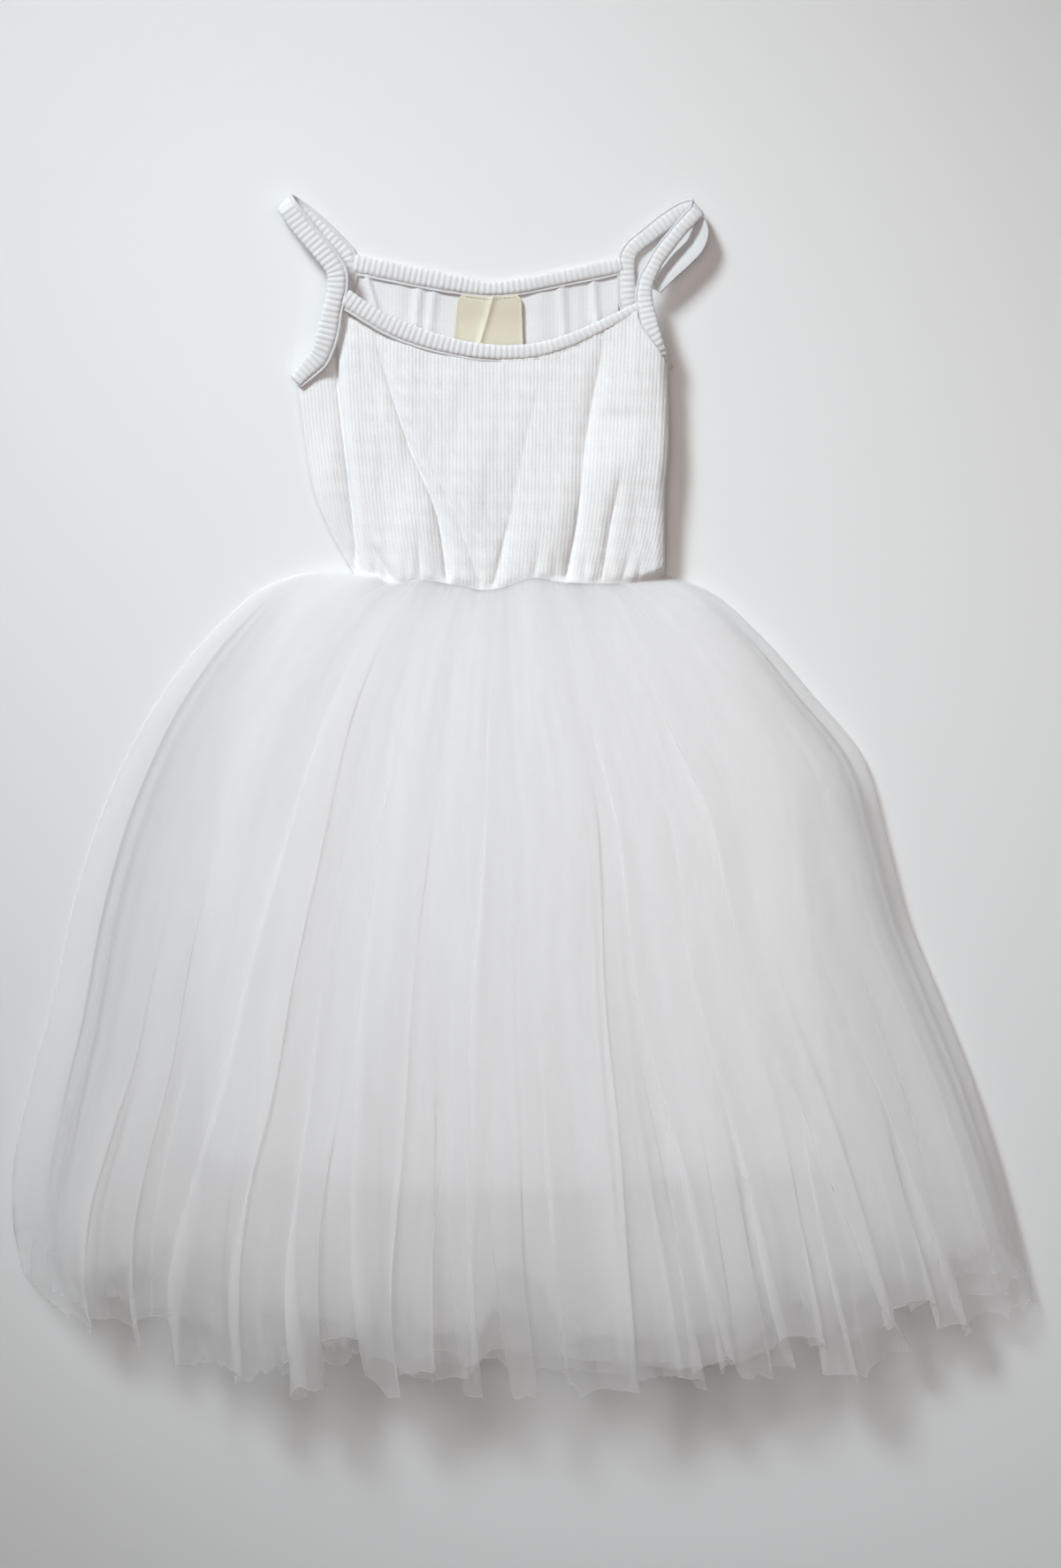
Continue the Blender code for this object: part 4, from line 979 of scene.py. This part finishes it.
# The front's table is place across, then height at the waist, the middle and the top.
bodice = {
    "leftSide": (
        (-74.5, 95), (-82.2, 107.2), (-88.3, 118.8), (-95.2, 137.2), (-99, 160), (-102, 181.5),
    ),
    "rightSide": (
        (63.8, 97.2), (64, 134), (65.8, 158), (65.2, 191),
    ),
    "front": (
        (0, 2.4, 2.4, 2.4), (0.060, 7.4, 5, 4.4), (0.160, 9.8, 7.7, 7.3), (0.320, 10, 9.3, 8.5),
        (0.500, 10, 9.5, 8.5), (0.700, 10, 11.1, 10.3), (0.860, 10.1, 13.6, 12.9),
        (0.970, 10.1, 14.6, 13.8), (0.992, 9.4, 12.8, 12.2), (1, 2, 2, 2),
    ),
    "middle": 0.45, "rowSpacing": 1.05, "waistLine": 98, "tuck": 1.6,
    "ribPitch": 1.66, "ribHeight": 0.16, "insideRibHeight": 0.08, "roundness": 0.75,
    "rows": 100, "columns": 740, "backRows": 60, "backColumns": 480,
    "foldHeights": (92, 122, 158, 202), "fadeLength": (12, 0.25), "foldedTo": -16,
    "dent": ((44, 9), (167, 6), 0.7), "reliefFrom": 1.9, "reliefOver": 2.6,
    "hemRoll": 2, "onSkirt": 1.2, "lowest": 1.7, "sideHeight": 1.5,
    "backHeight": 0.8, "backLowest": 0.35, "inView": (150, 195), "slantFrom": 230,
    "wallPower": 1.2, "ridge": (2.6, 0.9), "foldedOver": (-0.5, 0.5), "gatherLength": 7,
    "ribsGrow": 3, "faintestRibs": 0.15, "rolledRibs": 0.8,
    "broadWaves": (1, 0.5, 34, 5, 0.35), "fineWaves": (1, 1, 9, 7, 0.12),
    "gathers": (1, 0, 8, 6, 0.35), "backWaves": (1.8, 0.35, 52, 8, 0.25),
}
# The front's folds: x at four heights, depth, half widths of the left and right walls, the
# height where it has faded out, the ridge beside it, and the cloth it takes up at the waist.
bodiceFolds = (
    (-73.6, -77, -81.2, -85.8, 3.8, 4.6, 1.6, 240, 0.2, 5),
    (-73.6, -77, -81.2, -85.8, 1.6, 1.1, 0.7, 230, 0, 0),
    (-34.2, -38.6, -52.6, -66.6, 1.5, 3.4, 2.8, 214, 0.1, 6),
    (-34.2, -38.6, -52.6, -66.6, 1.1, 0.9, 1.1, 212, 0, 0),
    (18.2, 24, 28, 36, 2.5, 5.6, 5, 218, 0.1, 4),
    (18.2, 24, 28, 36, 1, 1, 1.4, 146, 0, 1),
    (-13.5, -6.5, 1, 12, 0.9, 4, 8, 200, 0, 2),
    (-14, -7, -1, 2, 0.7, 1.2, 3, 130, 0.1, 2),
    (34.4, 39.5, 47, 53, 1.5, 2.4, 2.4, 150, 0.1, 3),
    (-57, -73, -80, -84, 1.2, 3, 1.6, 121, 0.4, 3),
    (-46.4, -48, -52, -56, 0.8, 2, 1.6, 124, 0.2, 1.5),
    (-19.4, -30, -46, -58, 0.7, 2.2, 3.6, 165, 0.3, 3),
    (43.6, 51, 56, 60, 0.8, 1.8, 1.6, 112, 0.3, 1),
    (50.6, 56, 60, 62, 0.7, 1.6, 1.4, 108, 0.3, 1),
    (-66, -69, -74, -78, 0.7, 1.6, 1.4, 112, 0.2, 0.8),
    (27, 29, 33, 38, 0.6, 1.6, 1.6, 114, 0.2, 0.8),
    (4.5, 8, 12, 16, 0.7, 1.8, 1.8, 116, 0.2, 0.8),
    (-61, -62, -64, -74, 0.4, 4, 4, 260, 0, 0),
)
# The strips along a panel's top edge, from left to right, and how far it may reach under the
# right one.
frontEdges = (leftStrapFront[:9], neckFront, rightStrapFront[:9], 0.6)
backEdges = (leftStrapBack[7:], neckBack, rightStrapBack[7:], bodice["tuck"])


def stripEdge(stations, side, tuck):
    centre, _, wide, width, _ = stripPath(stations, 1.3)
    sideways = wide[:, :2] / np.linalg.norm(wide[:, :2], axis=1)[:, None]
    return centre[:, :2] + (side * (width / 2 - tuck))[:, None] * sideways


def topEdge(edges, x, tuck):
    # The lowest of a panel's edge lines at each x, as far as each line reaches.
    left, neck, right, rightTuck = edges
    best = np.full(len(x), np.inf)
    for stations, side, under, reachLeft, reachRight in (
        (left, 1, tuck, 20, 1),
        (neck, -1, tuck, 8, 8),
        (right, -1, min(tuck, rightTuck), 1, 20),
    ):
        line = stripEdge(stations, side, under)
        line = line[np.argsort(line[:, 0])]
        y = np.interp(x, line[:, 0], line[:, 1])
        # Past its ends a line goes on at the slope of its last three points.
        for i, past in ((0, x < line[0, 0]), (-1, x > line[-1, 0])):
            run, rise = line[-1] - line[-3] if i else line[2] - line[0]
            y = np.where(past, line[i, 1] + rise / run * (x - line[i, 0]), y)
        within = (x >= line[0, 0] - reachLeft) & (x <= line[-1, 0] + reachRight)
        best = np.where(within, np.minimum(best, y), best)
    return best


def panelPlaces(across, rows, edges):
    # Points of a bodice panel seen from above, from the waist seam to its top edge.
    left, right = bodice["leftSide"], bodice["rightSide"]
    startY = curveThrough(waistEdge, between(left[0][0], right[0][0], across))
    topY = topEdge(edges, between(left[-1][0], right[-1][0], across), bodice["tuck"])
    share = evenly(rows)[:, None] ** bodice["rowSpacing"]
    y = between(startY[None, :], topY[None, :], share)
    (leftX, leftY), (rightX, rightY) = np.array(left).T, np.array(right).T
    xLeft = smoothCurve(y, leftY, leftX)
    xRight = smoothCurve(y, rightY, rightX)
    return between(xLeft, xRight, across[None, :]), y, share


def foldRelief(x, y):
    # The folds' change of height, and the cloth's own lines shifted by what the folds hide.
    change, cloth = np.zeros(x.shape), x.copy()
    heights, (shortest, perHeight) = bodice["foldHeights"], bodice["fadeLength"]
    ridgeAt, ridgeWidth = bodice["ridge"]
    for x1, x2, x3, x4, depth, left, right, fadeY, ridge, hidden in bodiceFolds:
        tall = fadeY - heights[0]
        off = x - smoothCurve(y, heights, (x1, x2, x3, x4))
        fade = ease(0, 1, (fadeY - y) / (shortest + perHeight * tall))
        wall = np.abs(off / np.where(off < 0, left, right)) ** bodice["wallPower"]
        change -= depth * fade * np.exp(-wall)
        beside = (off - right * ridgeAt) / (right + ridgeWidth)
        change += ridge * fade * np.exp(-beside * beside)
        taken = hidden * unit((fadeY - y) / tall)
        past = ease(*bodice["foldedOver"], off)
        cloth += taken * (past - 1 if x1 < bodice["foldedTo"] else past)
    return change, cloth


def ribPanel(name, points, cloth, ribRoom, turn):
    # turn is -1 where the rows run from the top down, and 1 where they run up.
    flatUv = stacked(cloth, points[..., 1] - bodice["waistLine"]) * mm
    fields = {"ribPhase": (cloth / bodice["ribPitch"])[::turn], "ribRoom": ribRoom[::turn]}
    return gridPiece(name, points[::turn], flatUv[::turn], fields=fields)


def bodiceFront():
    across = evenly(bodice["columns"])
    x, y, share = panelPlaces(across, bodice["rows"], frontEdges)
    places, *heights = np.array(bodice["front"]).T
    waist, middle, top = [smoothCurve(across, places, row)[None, :] for row in heights]
    half = bodice["middle"]
    z = between(waist, middle, unit(share / half))
    z = z + (top - middle) * unit((share - half) / (1 - half))
    room = unit((z - bodice["reliefFrom"]) / bodice["reliefOver"])
    change, cloth = foldRelief(x, y)
    (dentX, wide), (dentY, tall), deep = bodice["dent"]
    dent = deep * np.exp(-(((x - dentX) / wide) ** 2) - ((y - dentY) / tall) ** 2)
    uneven = change - dent + waveHeight(bodice["broadWaves"], x, y)
    z = z + (uneven + waveHeight(bodice["fineWaves"], x, y)) * room
    # Small gathers above the waist seam, and the lower edge rolls down onto the skirt.
    fade = np.exp(-(y - y[:1]) / bodice["gatherLength"])
    z = z + waveHeight(bodice["gathers"], x, y) * fade * room
    left, right = skirt["waist"]
    u = unit((x - left) / (right - left))
    down = 0 * u + skirt["tucked"] / skirt["length"]
    pile = sheets["tulleOuter"]["share"] * pileHeight(down) - plainLayer["edge"]
    rolled = np.exp(-(((y - y[:1]) / bodice["hemRoll"]) ** 2))
    z = z * (1 - rolled) + (bodice["onSkirt"] + pile * dome(u, down)) * rolled
    z = np.maximum(z, bodice["lowest"])
    z[:, [0, -1]] = bodice["sideHeight"]
    ribRoom = np.clip(room * bodice["ribsGrow"], bodice["faintestRibs"], 1)
    ribRoom = ribRoom * (1 - bodice["rolledRibs"] * rolled)
    piece = ribPanel("bodiceFront", stacked(x, y, z), cloth, ribRoom, -1)
    raiseRibs(piece, bodice["ribHeight"], bodice["roundness"], knit)
    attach(piece, "root")
    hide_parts("bodice_front")


# The back's folds, seen inside the neckline: x at the top, slant, depth and half width.
insideFolds = (
    (-47, 0.10, 0.9, 2.4), (-40, 0.12, 0.7, 2.2), (-70.2, -0.30, 1.4, 1.2), (-56, 0.05, 0.4, 4),
    (17, -0.06, 0.9, 2.4), (31.6, -0.08, 1, 2), (24, -0.05, 0.4, 3.4), (7, 0, 0.4, 4),
)


def bodiceBack():
    across = evenly(bodice["backColumns"])
    x, y, _ = panelPlaces(across, bodice["backRows"], backEdges)
    bulge = np.sin(math.pi * across)[None, :]
    z = bodice["backHeight"] + waveHeight(bodice["backWaves"], x, y) * bulge
    inView = ease(*bodice["inView"], y)
    for place, slant, depth, width in insideFolds:
        off = (x - place - slant * (y - bodice["slantFrom"])) / width
        z = z + depth * np.exp(-off * off) * inView
    points = stacked(x, y, np.maximum(z, bodice["backLowest"]))
    piece = ribPanel("bodiceBack", points, x, np.ones((1, 1)), 1)
    # The inside takes the darker copy of the knit, painted shade.
    raiseRibs(piece, bodice["insideRibHeight"], bodice["roundness"], shadedKnitInside)
    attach(piece, "root")
    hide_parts("bodice_back")


bodiceFront()
bodiceBack()
print("bodice made")

# Label: a bare satin flap sewn under the back neckline.
label = {
    "left": -31.8, "right": -0.2, "bottom": 199.5, "corner": 5, "taper": 1.4, "lean": 0.7,
    "tuck": 0.4, "height": 2.3, "thick": 0.3, "rows": 60, "columns": 90, "rowSpacing": 1.3,
    "crease": (-13.8, -20.5), "creaseHeight": 0.9, "creaseWidth": 1.5,
    "curl": 0.35, "curlFrom": 0.8, "curlOver": 0.2, "cornerIn": 0.6, "creasePower": 1.4,
    "waves": (1, 1, 24, 12, 0.25), "seamDown": 0.8, "seamUp": 0.2, "seamInset": 6,
}


def makeLabel():
    middle = (label["left"] + label["right"]) / 2
    half = (label["right"] - label["left"]) / 2
    across = np.linspace(-1, 1, label["columns"])[None, :]
    share = evenly(label["rows"])[:, None] ** label["rowSpacing"]
    topY = topEdge(backEdges, middle + half * across[0], label["tuck"])[None, :]
    y = between(topY, label["bottom"], share)
    fallen = unit(1 - (topY[0, 0] - y[:, :1]) / label["corner"])
    narrow = half - label["corner"] * label["cornerIn"] * (1 - np.sqrt(1 - fallen**2))
    narrow = narrow - label["taper"] * (1 - share)
    x = middle + label["lean"] * (1 - share) + narrow * across
    off = (x - between(*label["crease"], share)) / label["creaseWidth"]
    folded = np.exp(-np.abs(off) ** label["creasePower"])
    z = label["height"] + label["creaseHeight"] * folded + waveHeight(label["waves"], x, y)
    z = z + label["curl"] * unit((across**2 - label["curlFrom"]) / label["curlOver"]) * share
    flatUv = stacked((x - middle) * mm, (y - topY) * mm)
    piece = gridPiece("labelFlap", stacked(x, y, z), flatUv)
    piece.modifiers.new("thickness", "SOLIDIFY").thickness = label["thick"] * mm
    piece.data.materials.append(labelSatin)
    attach(piece, "root")
    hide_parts("label")
    seam = stacked(x[1], y[1] - label["seamDown"], z[1] + label["seamUp"])
    seam = seam[label["seamInset"] : -label["seamInset"]]
    sewSeam("labelStitches", [seam], bindingKnit, 0.0018, 0.0013, 0.0004)


makeLabel()
print("label made")

# Floor, light and camera.
studio = {
    "floorHalf": 3, "floorColour": (0.80, 0.805, 0.805, 1),
    "cameraPlace": (0.0033, 0.0055, 1.971), "lens": 100, "room": ((1, 0.80, 0.70, 1), 0.074),
}
lamps = {
    "keyLight": {
        "place": (-1.08, 1.55, 1.25), "aim": (0, 0.03, 0), "size": (0.6, 0.6),
        "spread": 35, "power": 2.63, "colour": (0.87, 0.975, 1.03),
    },
    "skyLight": {
        "place": (0.10, 0.2, 0.8), "aim": (0.10, 0.2, 0), "size": (0.8, 0.7),
        "spread": 180, "power": 2.70, "colour": (1, 0.88, 0.83),
    },
}


def makeStudio():
    half = studio["floorHalf"]
    corners = [(-half, -half, 0), (half, -half, 0), (half, half, 0), (-half, half, 0)]
    mesh = bpy.data.meshes.new("floor")
    mesh.from_pydata(corners, [], [(0, 1, 2, 3)])
    floor = linkPiece("floor", mesh)
    look = {"Roughness": 0.75, "Specular IOR Level": 0.2}
    paper, tree, shader = newMaterial("palePaper", look)
    place = addNode(tree, "ShaderNodeTexCoord").outputs["Object"]
    grain = noiseNode(tree, place, 3, 2)
    base = studio["floorColour"]
    darker = tuple(0.985 * part for part in base[:3]) + (1,)
    setInput(tree, shader.inputs["Base Color"], mixColours(tree, grain, base, darker))
    mesh.materials.append(paper)
    scene = bpy.context.scene
    scene.world = bpy.data.worlds.new("softRoom")
    scene.world.use_nodes = True
    background = scene.world.node_tree.nodes["Background"]
    for socket, value in zip(background.inputs, studio["room"]):
        socket.default_value = value
    for name, settings in lamps.items():
        lamp = bpy.data.lights.new(name, "AREA")
        lamp.shape = "RECTANGLE"
        lamp.size, lamp.size_y = settings["size"]
        lamp.spread = math.radians(settings["spread"])
        lamp.energy, lamp.color = settings["power"], settings["colour"]
        light = linkPiece(name, lamp)
        light.location = settings["place"]
        aim = Vector(settings["aim"]) - light.location
        light.rotation_euler = aim.to_track_quat("-Z", "Y").to_euler()
    lens = bpy.data.cameras.new("camera")
    lens.lens, lens.clip_end = studio["lens"], 20
    scene.camera = linkPiece("camera", lens)
    scene.camera.location = studio["cameraPlace"]
    scene.view_settings.view_transform = "Standard"
    scene.cycles.transparent_max_bounces = 32
    scene.cycles.diffuse_bounces = 6


makeStudio()
print("studio made")
